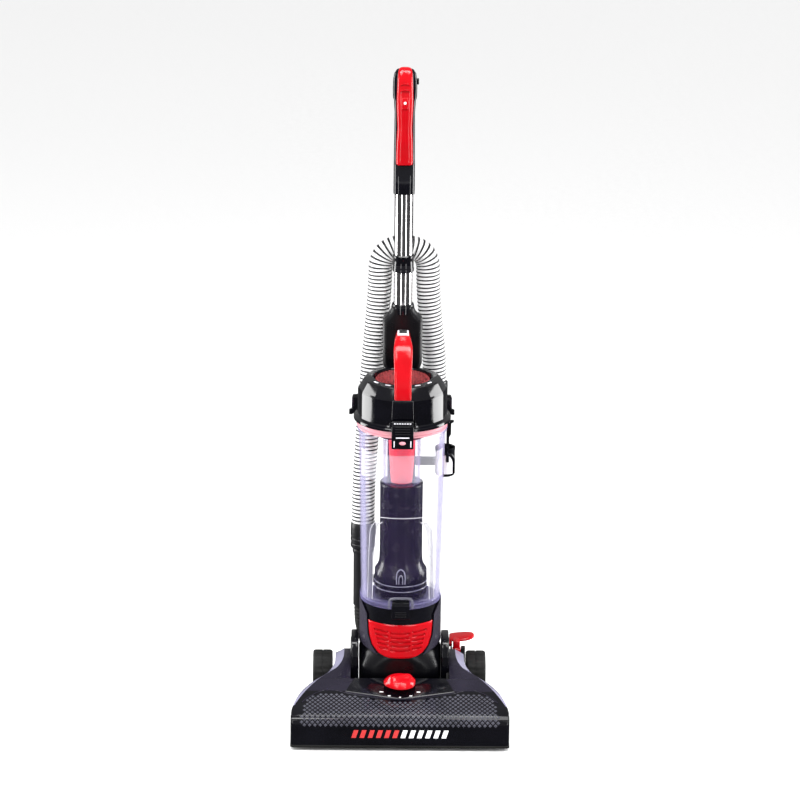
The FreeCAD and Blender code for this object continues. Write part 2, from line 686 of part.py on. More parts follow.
def neck_block():
    """The gloss shoulder that joins the spine to the tube."""
    face = both_sides([
        ("spine_half + 2", "spine_top"), ("neck_half - 1", "spine_top + 12"),
        ("neck_half", "neck_top - 4"),
        ("neck_half - 3", "neck_top"), ("tube_r + 4", "neck_top + 12"), ("tube_r + 2", "neck_mouth"),
    ])
    block = slab("XZ_Plane", face, "neck_front", "neck_back")
    block = rounded(block, 4, lambda e: e.Length > 30 and abs(e.BoundBox.YLength) < 0.1)
    bore = rod("Z", 0, "tube_y", "tube_low", "tube_r + slack", "100")
    part(cut(block, bore), "neck_block")


def tube_pieces():
    """The lower and upper chrome tubes, which meet inside the collar."""
    height = "tube_split - 0.2 - tube_low"
    part(tube("Z", 0, "tube_y", "tube_low", "tube_r", "tube_r - tube_wall", height), "tube_lower")
    height = "tube_top - tube_split - 0.2"
    part(tube("Z", 0, "tube_y", "tube_split + 0.2", "tube_r", "tube_r - tube_wall", height), "tube_upper")


def tube_collar():
    """The joint between the two tubes, with the peg behind it that the hose hangs over."""
    ring = rod("Z", 0, "tube_y", "collar_low", "collar_r", "collar_top - collar_low")
    peg = rod("Y", 0, "tube_y", "711.2", "11", "144 - tube_y")
    lip = rod("Y", 0, "142", "711.2", "17", "4")
    web = box("-6", "6", "tube_y", "143", "696", "711")
    bore = rod("Z", 0, "tube_y", "690", "tube_r + slack", "60")
    part(cut(fuse(ring, peg, lip, web), bore), "tube_collar")


def handle_body():
    """The black rear half of the handle, with the socket that takes the tube."""
    socket = rod("Z", 0, "tube_y", "handle_low", "handle_half", "52")
    back = slab("YZ_Plane", [
        ("tube_y - 1.5", "grip_low"), ("tube_y + 16", "grip_low"), ("tube_y + 20", "930"),
        ("tube_y + 21", "985"),
        ("tube_y + 17", "1020"), ("tube_y + 8", "1034"), ("tube_y - 1.5", "grip_top - 0.5"),
    ], "-handle_half", "handle_half")
    back = rounded(back, 7, lambda e: e.CenterOfMass.y > size("tube_y") + 10 and e.BoundBox.XLength < 0.1)
    head = rod("X", "-19", "tube_y + 3", "1006", "15", "38")
    bore = rod("Z", 0, "tube_y", "handle_low - 1", "tube_r + slack", "tube_top - handle_low + 1")
    front = box("-30", "30", "0", "tube_y - 1.5", "grip_low + 0.2", "grip_top + 5")
    part(cut(fuse(socket, back, head), bore, front), "handle_body")


def handle_grip():
    """The red front half of the handle."""
    grip = slab("YZ_Plane", [
        ("tube_y - 1.7", "grip_low + 0.4"), ("tube_y - 1.7", "grip_top"), ("73", "1035"), ("66", "1021"),
        ("62", "985"), ("62", "930"), ("66", "grip_low + 0.4"),
    ], "-grip_half", "grip_half")
    grip = rounded(grip, 7, lambda e: e.CenterOfMass.y < size("tube_y") - 9 and e.BoundBox.XLength < 0.1)
    recess = box("-6", "6", "50", "66", "974", "1004")
    part(cut(grip, recess), "handle_grip")


def power_switch():
    """The sliding switch in the grip's front recess."""
    thumb = fuse(
        box("-5.4", "5.4", "62.5", "65.8", "976", "996"),
        box("-4.5", "4.5", "59", "63", "982", "990"),
    )
    part(thumb, "power_switch")


def cord_hook_upper():
    """The quick release hook for the mains lead, which turns on a pin in the spine."""
    arm = rod("Y", 0, "spine_back + 0.4", "hook_top_z", "7", "hook_back - spine_back - 4")
    pin = rod("Y", 0, "spine_back - 8", "hook_top_z", "axle_r", "12")
    finger = box("-8", "8", "hook_back - 7", "hook_back", "hook_top_z - 9", "hook_top_z + 40")
    part(fuse(arm, pin, finger), "cord_hook_upper")


def cord_hook_lower():
    """The fixed lower hook for the mains lead."""
    arm = rod("Y", 0, "spine_back + 0.1", "hook_low_z", "7", "hook_back - spine_back - 4")
    plate = box("-12", "12", "spine_back + 0.1", "spine_back + 5", "hook_low_z - 14", "hook_low_z + 14")
    finger = box("-8", "8", "hook_back - 7", "hook_back", "hook_low_z - 40", "hook_low_z + 9")
    part(fuse(arm, plate, finger), "cord_hook_lower")


def cord_gland():
    """The strain relief's seat, where the mains lead leaves the spine."""
    part(tube("Y", 0, "spine_back + 0.1", "176", "9", "4", "7"), "cord_gland")


def side_brackets():
    """The wings that steady the lid, one on each side of the spine."""
    wing = fuse(
        box("spine_half + 0.1", "80", "spine_front", "spine_front + 4.4", "482", "514"),
        box("76", "86", "spine_front", "spine_front + 4.4", "480", "491"),
    )
    part(fuse(wing, mirrored(wing)), "side_brackets")


def tool_holder():
    """The storage cup for an accessory on the right, with a lead hook over it."""
    cup = cut(
        rod("Z", "socket_x", "socket_y", "socket_low", "socket_r + 2.2", "socket_top - socket_low"),
        rod("Z", "socket_x", "socket_y", "socket_low + 4", "socket_r", "socket_top - socket_low"),
    )
    arm = box("spine_half + 0.1", "socket_x - socket_r - 1", "80", "90", "392", "406")
    front = "socket_y - socket_r - 2"
    bar = box("socket_x + 1", "socket_x + 6", f"{front} - 4", f"{front} + 1.9", "400", "450")
    hook = box("socket_x + 1", "socket_x + 9", f"{front} - 4", f"{front} + 1.6", "444", "472")
    lip = box("socket_x + 5", "socket_x + 13", f"{front} - 4", f"{front} + 1.6", "467", "472")
    part(fuse(cup, arm, bar, hook, lip), "tool_holder")


def inlet_port():
    """The elbow on the spine that the hose's right end plugs into."""
    solid = fuse(
        rod("Z", "port_x", "port_y", "470", "hose_r + 2.2", "port_top - 470"),
        box("spine_half + 0.1", "port_x", "spine_back - 18", "port_y", "472", "494"),
    )
    hollow = fuse(
        rod("Z", "port_x", "port_y", "502", "hose_r + 0.2", "30"),
        rod("Z", "port_x", "port_y", "474", "hose_r - 3", "40"),
        box("spine_half - 2", "port_x", "spine_back - 16", "port_y", "474", "492"),
    )
    part(cut(solid, hollow), "inlet_port")


def suction_pipe():
    """The pipe that brings the dirt up from the floor head to the hose's cuff."""
    solid = fuse(
        rod("Z", "-cuff_x", "cuff_y", "150", "15.5", "cuff_low + 20 - 150"),
        box("-cuff_x", "-spine_half - 0.1", "86", "94", "190", "202"),
    )
    part(cut(solid, rod("Z", "-cuff_x", "cuff_y", "149", "13.5", "130")), "suction_pipe")


def hose_cuff():
    """The cuff that joins the hose's left end to the suction pipe."""
    cuff = cut(
        cone("-cuff_x", "cuff_y", "cuff_low", "18", "20.5", "cuff_top - cuff_low"),
        rod("Z", "-cuff_x", "cuff_y", "cuff_low - 1", "15.5 + slack", "34"),
        rod("Z", "-cuff_x", "cuff_y", "cuff_low", "13.5", "40"),
    )
    part(cuff, "hose_cuff")


def rounded_path(points):
    """Straight runs joined by tangent arcs, as large as the runs beside each corner allow."""
    vectors = [FreeCAD.Vector(*p) for p in points]
    edges = []
    radii = []
    last = vectors[0]
    for before, corner, after in zip(vectors, vectors[1:], vectors[2:]):
        back = before - corner
        ahead = after - corner
        turn_angle = math.pi - back.getAngle(ahead)
        reach = 0.45 * min(back.Length, ahead.Length)
        radius = reach / math.tan(turn_angle / 2)
        radii.append(round(radius, 1))
        start = corner + back.normalize() * reach
        end = corner + ahead.normalize() * reach
        half = (start + end) * 0.5
        inward = (half - corner).normalize()
        centre = corner + inward * (radius / math.cos(turn_angle / 2))
        edges.append(Part.LineSegment(last, start).toShape())
        edges.append(Part.Arc(start, centre - inward * radius, end).toShape())
        last = end
    edges.append(Part.LineSegment(last, vectors[-1]).toShape())
    return Part.Wire(edges), radii


def hose():
    """The stretch hose, a plain tube of its outer size along its real route."""
    path, radii = rounded_path(HOSE_ROUTE)
    solids = []
    for radius in (size("hose_r"), size("hose_r - 4")):
        circle = Part.Circle(FreeCAD.Vector(*HOSE_ROUTE[0]), FreeCAD.Vector(0, 0, 1), radius).toShape()
        solids.append(path.makePipeShell([Part.Wire([circle])], True, False, 2))
    solid = solids[0].cut(solids[1])
    section = math.pi * (size("hose_r") ** 2 - size("hose_r - 4") ** 2)
    print("hose length", round(path.Length), "bend radii", radii)
    print("volume over section x length", round(solid.Volume / section / path.Length, 4))
    line = doc.addObject("Part::Feature", "Hose")
    line.Shape = solid
    part(line, "hose")


# ---------------------------------------------------------------- dust cup and lid

def dust_cup():
    """The clear cup, with the raised arch on its front and the guard over the floor latch."""
    def wide(extra):
        return cone(0, 0, "cup_low", f"cup_low_r + {extra}", f"cup_top_r + {extra}", "cup_top - cup_low")
    arch = common(wide("1.3"), slab("XZ_Plane", both_sides([
        ("arch_half", "cup_low + 8"), ("arch_half", "arch_top - 24"), ("arch_half - 12", "arch_top"),
    ]), "-80", "-20"))
    guard = cut(
        box("-20", "20", "-cup_low_r - 8", "-55", "cup_low + 0.5", "223"),
        box("-16", "16", "-cup_low_r - 10", "-cup_low_r - 0.5", "cup_low", "219"),
    )
    shell = cut(fuse(wide("0"), arch, guard), wide("0 - cup_wall"))
    pin = rod("X", "-17", "-lever_y", "lever_z", "pin_r", "34")
    part(fuse(shell, pin), "dust_cup")


def cup_floor():
    """The hinged bottom of the cup, with its hinge knuckle at the back."""
    plate = rod("Z", 0, 0, "band_top + 0.6", "cup_low_r", "cup_low - band_top - 0.7")
    rim = tube("Z", 0, 0, "cup_low - 0.5", "cup_low_r - cup_wall - 0.4", "cup_low_r - cup_wall - 3", "3.5")
    part(fuse(plate, rim), "cup_floor")


def floor_latch():
    """The lever on the cup's front that lets its floor drop open."""
    lever = slab("YZ_Plane", [
        ("-cup_low_r - 2.5", "187"), ("-cup_low_r - 1.2", "207"), ("-cup_low_r - 2.2", "212"),
        ("-cup_low_r - 2.6", "216"), ("-cup_low_r - 6", "216"), ("-cup_low_r - 7.5", "205"),
        ("-cup_low_r - 6", "187"),
    ], "-14.5", "14.5")
    bore = rod("X", "-15", "-lever_y", "lever_z", "pin_r + slack", "30")
    part(cut(lever, bore), "floor_latch")


def lid_shell():
    """The lid's black ring with the latch panel, and the pin that the latch turns on."""
    ring = spun([
        ("lid_r - wall", "lid_low"), ("rim_r", "lid_low"), ("rim_r", "lid_low + 5"),
        ("lid_r", "lid_low + 7"),
        ("lid_r", "lid_shoulder"), ("lid_r - 8", "lid_top - 2.5"), ("filter_r + 0.5", "lid_top"),
        ("filter_r + 0.5", "lid_top - 8"), ("filter_r - 7", "lid_top - 8"),
        ("filter_r - 7", "lid_top - 10"),
        ("lid_r - 10", "lid_top - 10"), ("lid_r - wall", "lid_shoulder - 2"),
    ])
    panel = box("-latch_half", "latch_half", "-lid_r - 2.6", "-lid_r + 2", "lid_low + 6", "lid_shoulder - 2")
    back = box("-rim_r", "rim_r", "lid_back", "rim_r + 5", "lid_low - 5", "lid_top + 5")
    ear = box("latch_half + 0.4", "latch_half + 2.6", "-clip_y - 3", "-lid_r + 4", "clip_z - 4", "clip_z + 4")
    pin = rod("X", "-latch_half - 1.5", "-clip_y", "clip_z", "pin_r", "2 * latch_half + 3")
    part(cut(fuse(ring, panel, ear, mirrored(ear), pin), back), "lid_shell")


def lid_seal():
    """The rubber ring between the cup's rim and the lid."""
    ring = tube("Z", 0, 0, "cup_top + 0.1", "cup_top_r + 1.2", "cup_top_r - 8", "lid_low - cup_top - 0.2")
    back = box("-rim_r", "rim_r", "lid_back", "rim_r + 5", "cup_top - 5", "lid_low + 5")
    part(cut(ring, back), "lid_seal")


def carry_handle():
    """The loop on the lid that the cup is carried by."""
    loop = slab("YZ_Plane", [
        ("-lid_r - 0.4", "lid_shoulder + 0.5"), ("-66", "585"), ("-54", "617"), ("-32", "634"),
        ("-8", "640"),
        ("20", "636"), ("42", "618"), ("52", "590"), ("54", "lid_top + 0.2"), ("44", "lid_top + 0.2"),
        ("42", "590"), ("34", "609"), ("16", "622.5"), ("-8", "626"), ("-28", "620"),
        ("-44", "606"), ("-54", "582"),
        ("-lid_r + 7.8", "lid_top - 2.1"),
    ], "-carry_half", "carry_half")
    pocket = box("-7.6", "7.6", "-17", "1", "630", "650")
    part(cut(loop, pocket), "carry_handle")


def release_button():
    """The button in the carry handle's top."""
    part(box("-7", "7", "-16.4", "0.4", "634", "643.6"), "release_button")


def pre_filter():
    """The washable foam disc under the lid's opening."""
    part(rod("Z", 0, 0, "lid_top - 7.9", "filter_r", "6"), "pre_filter")


def inner_cylinder():
    """The clear tube between the lid and the shroud."""
    part(spun([
        ("inner_r - 2", "394"), ("inner_r", "394"), ("inner_r", "lid_top - 13"),
        ("filter_r + 2", "lid_top - 13"), ("filter_r + 2", "lid_top - 10.2"),
        ("inner_r - 2", "lid_top - 10.2"),
    ]), "inner_cylinder")


def cyclone_cone():
    """The red cone inside the clear tube."""
    part(spun([
        ("15", "394.2"), ("17", "394.2"), ("21", "468"), ("inner_r - 2.1", "470"),
        ("inner_r - 2.1", "473"),
        ("18", "473"),
    ]), "cyclone_cone")


def shroud():
    """The dark perforated skirt that the dust turns round."""
    part(spun([
        ("14", "393.8"), ("shroud_r", "393.8"), ("shroud_r", "258"), ("flare_r", "250"),
        ("flare_r", "212"),
        ("flare_r - 1.6", "212"), ("flare_r - 1.6", "249"), ("shroud_r - 1.6", "257"),
        ("shroud_r - 1.6", "391.8"), ("14", "391.8"),
    ]), "shroud")


def lid_latch():
    """The clip on the lid's front that hooks under the cup's rim."""
    clip = slab("YZ_Plane", [
        ("-rim_r - 0.6", "516.5"), ("-rim_r - 2", "518.5"), ("-rim_r - 4.6", "518.5"),
        ("-rim_r - 6.4", "513"), ("-rim_r - 6", "476"), ("-rim_r - 4", "473"),
        ("-cup_top_r - 2.2", "473"), ("-cup_top_r - 2.2", "481"), ("-rim_r - 0.6", "484"),
    ], "-latch_half", "latch_half")
    bore = rod("X", "-latch_half - 1", "-clip_y", "clip_z", "pin_r + slack", "2 * latch_half + 2")
    part(cut(clip, bore), "lid_latch")


def build():
    fill_sheet()
    nozzle_cover()
    sole_plate()
    front_bumper()
    texture_panel()
    dial_panel()
    yoke_arm("yoke_arm_right", 1)
    yoke_arm("yoke_arm_left", -1)
    wheel_axles()
    suction_duct()
    drive_belt()
    brush_bearings()
    sole_screws()
    pedal_bracket()
    release_pedal()
    pedal_spring()
    rear_wheel("rear_wheel_right", 1)
    rear_wheel("rear_wheel_left", -1)
    height_carriage()
    front_roller("front_roller_right", "roller_x")
    front_roller("front_roller_left", "-roller_x")
    brush_roll()
    brush_bristles()
    height_knob()
    base_housing()
    exhaust_grille()
    exhaust_filter()
    base_band()
    cradle_cheeks()
    motor_stator()
    motor_rotor()
    fan_impeller()
    rear_spine()
    neck_block()
    tube_pieces()
    tube_collar()
    handle_body()
    handle_grip()
    power_switch()
    cord_hook_upper()
    cord_hook_lower()
    cord_gland()
    side_brackets()
    tool_holder()
    inlet_port()
    suction_pipe()
    hose_cuff()
    hose()
    dust_cup()
    cup_floor()
    floor_latch()
    lid_shell()
    lid_seal()
    carry_handle()
    release_button()
    pre_filter()
    inner_cylinder()
    cyclone_cone()
    shroud()
    lid_latch()


def check_and_write():
    doc.recompute()
    failed = [o.Name for o in doc.Objects if {"Invalid", "Error"} & set(o.State)]
    if failed:
        raise RuntimeError(f"objects failed: {failed}")
    os.makedirs("parts", exist_ok=True)
    for obj in parts:
        shape = obj.Shape
        if shape.isNull() or not shape.isValid() or not shape.Solids:
            raise RuntimeError(f"{obj.Label} has no valid solid")
        shape.exportStep(f"parts/{obj.Label}.step")
    print(len(parts), "sub-parts written")


build()
check_and_write()
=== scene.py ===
"""The looks of the upright vacuum cleaner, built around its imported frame. +Z up, the front faces -Y."""

import math

import bmesh
import bpy
import numpy as np
from mathutils import Matrix, Vector


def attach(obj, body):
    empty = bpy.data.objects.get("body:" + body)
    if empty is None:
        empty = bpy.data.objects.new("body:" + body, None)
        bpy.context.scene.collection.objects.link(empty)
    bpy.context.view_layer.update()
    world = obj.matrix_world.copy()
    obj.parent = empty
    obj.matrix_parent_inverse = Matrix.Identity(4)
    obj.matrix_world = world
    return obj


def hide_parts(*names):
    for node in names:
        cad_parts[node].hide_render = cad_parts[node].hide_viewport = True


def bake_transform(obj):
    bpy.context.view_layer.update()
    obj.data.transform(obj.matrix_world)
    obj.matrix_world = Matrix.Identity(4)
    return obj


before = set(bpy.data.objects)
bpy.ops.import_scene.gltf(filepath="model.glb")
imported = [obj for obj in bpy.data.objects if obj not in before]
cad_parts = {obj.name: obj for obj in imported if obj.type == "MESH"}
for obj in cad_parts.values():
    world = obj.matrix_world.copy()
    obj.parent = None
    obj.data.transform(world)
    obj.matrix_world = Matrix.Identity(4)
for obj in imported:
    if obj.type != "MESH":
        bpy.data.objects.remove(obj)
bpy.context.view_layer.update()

MM = 0.001

# The stretch hose's control points in metres: port, over the collar's hook, down to the cuff.
HOSE_ROUTE = [
    (0.052, 0.122, 0.502), (0.052, 0.122, 0.560), (0.045, 0.122, 0.616), (0.040, 0.122, 0.672),
    (0.039, 0.122, 0.742), (-0.035, 0.122, 0.742), (-0.036, 0.121, 0.672), (-0.042, 0.119, 0.602),
    (-0.048, 0.114, 0.532), (-0.053, 0.107, 0.462), (-0.057, 0.100, 0.395), (-0.060, 0.095, 0.340),
    (-0.060, 0.095, 0.292),
]
HOSE_RADIUS = 18.8
WIRE_PITCH = 6.1
CLEAR_LAYERS = 32

# The short hose between the foot's duct and the suction pipe.
FOOT_ROUTE = [
    (-0.038, 0.076, 0.021), (-0.038, 0.104, 0.021), (-0.044, 0.122, 0.050), (-0.056, 0.112, 0.100),
    (-0.060, 0.095, 0.130), (-0.060, 0.095, 0.156),
]


def link(thing):
    """Puts an object into the scene."""
    bpy.context.scene.collection.objects.link(thing)
    return thing


# -------------------------------- camera, light and floor

def add_camera():
    """A long lens 5 m away, nearly square to the front, looking down 18 degrees."""
    lens = bpy.data.cameras.new("camera")
    lens.lens = 150.75
    lens.sensor_width = 36.0
    lens.shift_x = -0.0029
    lens.shift_y = 0.0118
    lens.clip_end = 100.0
    camera = bpy.data.objects.new("camera", lens)
    link(camera)
    yaw = math.atan2(-0.05, 4.975)
    aim = (
        Matrix.Rotation(yaw, 4, "Z")
        @ Matrix.Rotation(math.radians(72.0), 4, "X")
        @ Matrix.Rotation(math.radians(0.6), 4, "Z")
    )
    camera.matrix_world = Matrix.Translation((-0.05, -4.975, 2.129)) @ aim
    bpy.context.scene.camera = camera


def add_softbox(name, place, target, width, height, power):
    lamp = bpy.data.lights.new(name, "AREA")
    lamp.shape = "RECTANGLE"
    lamp.size = width
    lamp.size_y = height
    lamp.energy = power
    box = bpy.data.objects.new(name, lamp)
    box.location = place
    box.rotation_euler = (Vector(target) - Vector(place)).to_track_quat("-Z", "Y").to_euler()
    box.visible_camera = False
    link(box)


def add_sun(name, tilt, turn, strength, spread):
    lamp = bpy.data.lights.new(name, "SUN")
    lamp.energy = strength
    lamp.angle = math.radians(spread)
    sun = bpy.data.objects.new(name, lamp)
    sun.rotation_euler = (math.radians(tilt), 0.0, math.radians(turn))
    link(sun)


def add_studio():
    world = bpy.data.worlds.new("studio")
    world.use_nodes = True
    world.node_tree.nodes["Background"].inputs["Color"].default_value = (1.0, 1.0, 1.0, 1.0)
    world.node_tree.nodes["Background"].inputs["Strength"].default_value = 0.42
    bpy.context.scene.world = world
    bpy.context.scene.view_settings.view_transform = "Standard"
    # The label, the cup's wall and the inner cylinder are many clear layers one behind another.
    bpy.context.scene.cycles.transparent_max_bounces = CLEAR_LAYERS
    add_sun("key", 38.0, -35.0, 1.5, 24.0)
    add_sun("fill", 30.0, 40.0, 1.2, 30.0)
    add_softbox("left_box", (-1.3, 0.35, 0.6), (0.0, 0.0, 0.45), 0.5, 1.2, 24.0)
    add_softbox("right_box", (1.3, 0.35, 0.6), (0.0, 0.0, 0.45), 0.5, 1.2, 24.0)
    add_softbox("left_strip", (-0.75, -1.5, 0.5), (0.0, 0.0, 0.5), 0.16, 1.1, 5.0)
    add_softbox("right_strip", (0.8, -1.3, 0.5), (0.0, 0.0, 0.5), 0.16, 1.1, 5.0)
    add_softbox("top_strip", (0.0, -0.35, 2.4), (0.0, 0.0, 0.2), 2.2, 0.5, 45.0)


def add_sheet(name, radius, height, material):
    """A flat round sheet of the studio."""
    turns = np.linspace(0, 2 * math.pi, 65)[:-1]
    verts = [(radius * math.cos(a), radius * math.sin(a), height) for a in turns]
    mesh = bpy.data.meshes.new(name)
    mesh.from_pydata(verts, [], [tuple(range(64))])
    sheet = link(bpy.data.objects.new(name, mesh))
    sheet.data.materials.append(material)
    return sheet


def add_floor():
    """The pale floor, and a dark cloth on it that only reflections see, as a studio uses for black gloss."""
    paint = surface("floor_paint", (0.86, 0.86, 0.86), (0.9, 0.9, 0.9), 0.55, 0.7, 30, 0.02, 0.1)
    add_sheet("floor", 30.0, 0.0, paint)
    cloth = surface("flag_cloth", (0.02, 0.02, 0.022), (0.03, 0.03, 0.032), 0.8, 0.9, 30, 0.0)
    flag = add_sheet("flag", 9.0, 0.0002, cloth)
    flag.visible_camera = False
    flag.visible_diffuse = False
    flag.visible_transmission = False
    flag.visible_shadow = False


# -------------------------------- materials

def noise(tree, coords, scale, detail=3.0):
    node = tree.nodes.new("ShaderNodeTexNoise")
    node.inputs["Scale"].default_value = scale
    node.inputs["Detail"].default_value = detail
    tree.links.new(coords, node.inputs["Vector"])
    return node.outputs["Fac"]


def remap(tree, value, low, high):
    node = tree.nodes.new("ShaderNodeMapRange")
    node.inputs["From Min"].default_value = 0.3
    node.inputs["From Max"].default_value = 0.7
    node.inputs["To Min"].default_value = low
    node.inputs["To Max"].default_value = high
    tree.links.new(value, node.inputs["Value"])
    return node.outputs["Result"]


def surface(name, dark, light, smooth, rough, grain, bump, cloud=18.0, **constants):
    """A moulded or painted surface: clouded colour, uneven gloss and a fine grain.
    grain is the grain's scale, bump its strength, cloud the scale of the colour's variation."""
    material = bpy.data.materials.new(name)
    material.use_nodes = True
    tree = material.node_tree
    shader = tree.nodes["Principled BSDF"]
    coords = tree.nodes.new("ShaderNodeTexCoord").outputs["Object"]
    mix = tree.nodes.new("ShaderNodeMix")
    mix.data_type = "RGBA"
    mix.inputs["A"].default_value = (*dark, 1.0)
    mix.inputs["B"].default_value = (*light, 1.0)
    tree.links.new(remap(tree, noise(tree, coords, cloud), 0.0, 1.0), mix.inputs["Factor"])
    tree.links.new(mix.outputs["Result"], shader.inputs["Base Color"])
    tree.links.new(remap(tree, noise(tree, coords, 60.0), smooth, rough), shader.inputs["Roughness"])
    if bump:
        relief = tree.nodes.new("ShaderNodeBump")
        relief.inputs["Strength"].default_value = bump
        relief.inputs["Distance"].default_value = 0.0004
        tree.links.new(noise(tree, coords, grain, 2.0), relief.inputs["Height"])
        tree.links.new(relief.outputs["Normal"], shader.inputs["Normal"])
    for key, value in constants.items():
        shader.inputs[key.replace("_", " ")].default_value = value
    return material


def clear(name, tint, rim, facing, edge, rough=0.04):
    """Clear plastic: weaker face on, stronger and nearer the rim's colour where it is seen edge on."""
    material = surface(name, tint, tint, rough, rough + 0.05, 200, 0.0, IOR=1.49)
    tree = material.node_tree
    shader = tree.nodes["Principled BSDF"]
    weight = tree.nodes.new("ShaderNodeLayerWeight")
    weight.inputs["Blend"].default_value = 0.35
    amount = tree.nodes.new("ShaderNodeMapRange")
    amount.inputs["From Min"].default_value = 0.28
    amount.inputs["From Max"].default_value = 0.92
    amount.inputs["To Min"].default_value = facing
    amount.inputs["To Max"].default_value = edge
    tree.links.new(weight.outputs["Facing"], amount.inputs["Value"])
    tree.links.new(amount.outputs["Result"], shader.inputs["Alpha"])
    tone = tree.nodes.new("ShaderNodeMix")
    tone.data_type = "RGBA"
    tone.inputs["B"].default_value = (*rim, 1.0)
    tree.links.new(shader.inputs["Base Color"].links[0].from_socket, tone.inputs["A"])
    tree.links.new(weight.outputs["Facing"], tone.inputs["Factor"])
    tree.links.new(tone.outputs["Result"], shader.inputs["Base Color"])
    return material


def make_materials():
    """Every material by name. Solid: dark and light colour, lowest and highest roughness, the grain's scale
    and strength, and other constants. Clear: tint, rim colour, strength face on and edge on, roughness."""
    solid = {
        "black_gloss": ((0.0012, 0.0012, 0.0022), (0.003, 0.003, 0.005), 0.06, 0.12, 900, 0.02,
            dict(Specular_IOR_Level=0.34)),
        "black_soft": ((0.001, 0.001, 0.002), (0.003, 0.003, 0.004), 0.26, 0.34, 1200, 0.06,
            dict(Specular_IOR_Level=0.22)),
        "black_satin": ((0.004, 0.004, 0.005), (0.009, 0.009, 0.011), 0.32, 0.45, 1800, 0.25,
            dict(Specular_IOR_Level=0.30)),
        # A black lightened as if lit: painted light on upward faces and painted highlights along thin ridges.
        "black_painted_lit": ((0.007, 0.006, 0.012), (0.014, 0.012, 0.022), 0.16, 0.26, 1400, 0.06,
            dict(Specular_IOR_Level=0.3)),
        # Lavender that stands in for the studio's light reflected in black gloss: painted reflection.
        "painted_sheen": ((0.13, 0.125, 0.20), (0.26, 0.25, 0.36), 0.12, 0.2, 900, 0.03,
            dict(cloud=9.0, Coat_Weight=0.6, Coat_Roughness=0.05)),
        # A dark grey lighter than the cover's black, so the bumps read as lit: painted glint; the coat is
        # real gloss.
        "bump_painted_glint": ((0.035, 0.035, 0.048), (0.075, 0.075, 0.095), 0.08, 0.14, 900, 0.02,
            dict(Coat_Weight=0.8, Coat_Roughness=0.05)),
        "red_gloss": ((0.36, 0.001, 0.004), (0.47, 0.002, 0.007), 0.10, 0.18, 800, 0.03,
            dict(Specular_IOR_Level=0.3)),
        # The same red plastic as red_gloss made far lighter, to offset the shade it sits in: painted light.
        "red_painted_lit": ((0.80, 0.004, 0.012), (0.95, 0.010, 0.020), 0.3, 0.4, 800, 0.03, {}),
        "cheek_grey": ((0.016, 0.014, 0.024), (0.034, 0.030, 0.046), 0.16, 0.26, 900, 0.05,
            dict(Specular_IOR_Level=0.4)),
        # Pale grey: pale trim, and painted highlights on the clip, the cup's arch and the carry handle's
        # head.
        "pale_trim_and_highlight": ((0.62, 0.61, 0.66), (0.76, 0.75, 0.80), 0.15, 0.25, 900, 0.03, {}),
        "maroon": ((0.045, 0.002, 0.012), (0.08, 0.006, 0.025), 0.2, 0.3, 700, 0.04, {}),
        "navy_gloss": ((0.003, 0.002, 0.016), (0.010, 0.005, 0.024), 0.2, 0.3, 700, 0.04,
            dict(Specular_IOR_Level=0.28)),
        "chrome": ((0.70, 0.69, 0.69), (0.80, 0.79, 0.79), 0.05, 0.10, 900, 0.01, dict(Metallic=1.0)),
        "steel": ((0.42, 0.42, 0.44), (0.56, 0.56, 0.58), 0.25, 0.4, 1200, 0.1, dict(Metallic=1.0)),
        "cast": ((0.40, 0.40, 0.41), (0.52, 0.52, 0.53), 0.4, 0.55, 900, 0.3, dict(Metallic=1.0)),
        "rubber": ((0.004, 0.004, 0.004), (0.010, 0.010, 0.010), 0.55, 0.75, 1500, 0.4,
            dict(Specular_IOR_Level=0.2)),
        "seal_pink": ((0.62, 0.20, 0.26), (0.80, 0.38, 0.42), 0.3, 0.45, 700, 0.1, {}),
        "bristle": ((0.012, 0.012, 0.014), (0.045, 0.045, 0.05), 0.5, 0.7, 2500, 0.8, dict(cloud=400.0)),
        "paper": ((0.74, 0.74, 0.70), (0.86, 0.86, 0.83), 0.8, 0.95, 900, 0.6, {}),
        "foam": ((0.030, 0.001, 0.003), (0.46, 0.045, 0.05), 0.6, 0.85, 1100, 1.0, dict(cloud=420.0)),
        "wire": ((0.002, 0.002, 0.003), (0.008, 0.008, 0.010), 0.35, 0.5, 900, 0.1,
            dict(Specular_IOR_Level=0.25)),
        "web": ((0.96, 0.96, 0.97), (1.0, 1.0, 1.0), 0.4, 0.6, 500, 0.1, dict(Alpha=0.6)),
        "print_red": ((0.50, 0.02, 0.02), (0.60, 0.03, 0.03), 0.3, 0.4, 900, 0.05, {}),
        "print_white": ((0.84, 0.84, 0.84), (0.95, 0.95, 0.95), 0.3, 0.4, 900, 0.05, {}),
    }
    clear_ones = {
        "cup_clear": ((0.78, 0.76, 0.92), (0.22, 0.20, 0.42), 0.004, 0.62),
        "lilac_clear": ((0.34, 0.31, 0.60), (0.20, 0.18, 0.42), 0.07, 0.60),
        # A grey film: painted shade on the arch's bevel, and the smoked latch guard.
        "smoke_and_painted_shade": ((0.13, 0.13, 0.16), (0.16, 0.15, 0.22), 0.56, 0.80, 0.08),
        "rib_clear": ((0.14, 0.13, 0.26), (0.16, 0.15, 0.30), 0.48, 0.75, 0.08),
        "label_film": ((0.80, 0.80, 0.90), (0.90, 0.90, 0.97), 0.20, 0.70, 0.25),
    }
    made = {name: surface(name, *numbers, **constants) for name, (*numbers, constants) in solid.items()}
    made.update({name: clear(name, *numbers) for name, numbers in clear_ones.items()})
    return made


# -------------------------------- shapes, in millimetres

def new_piece(name, verts, faces):
    mesh = bpy.data.meshes.new(name)
    mesh.from_pydata([(float(x) * MM, float(y) * MM, float(z) * MM) for x, y, z in verts], [], faces)
    piece = bpy.data.objects.new(name, mesh)
    link(piece)
    return piece


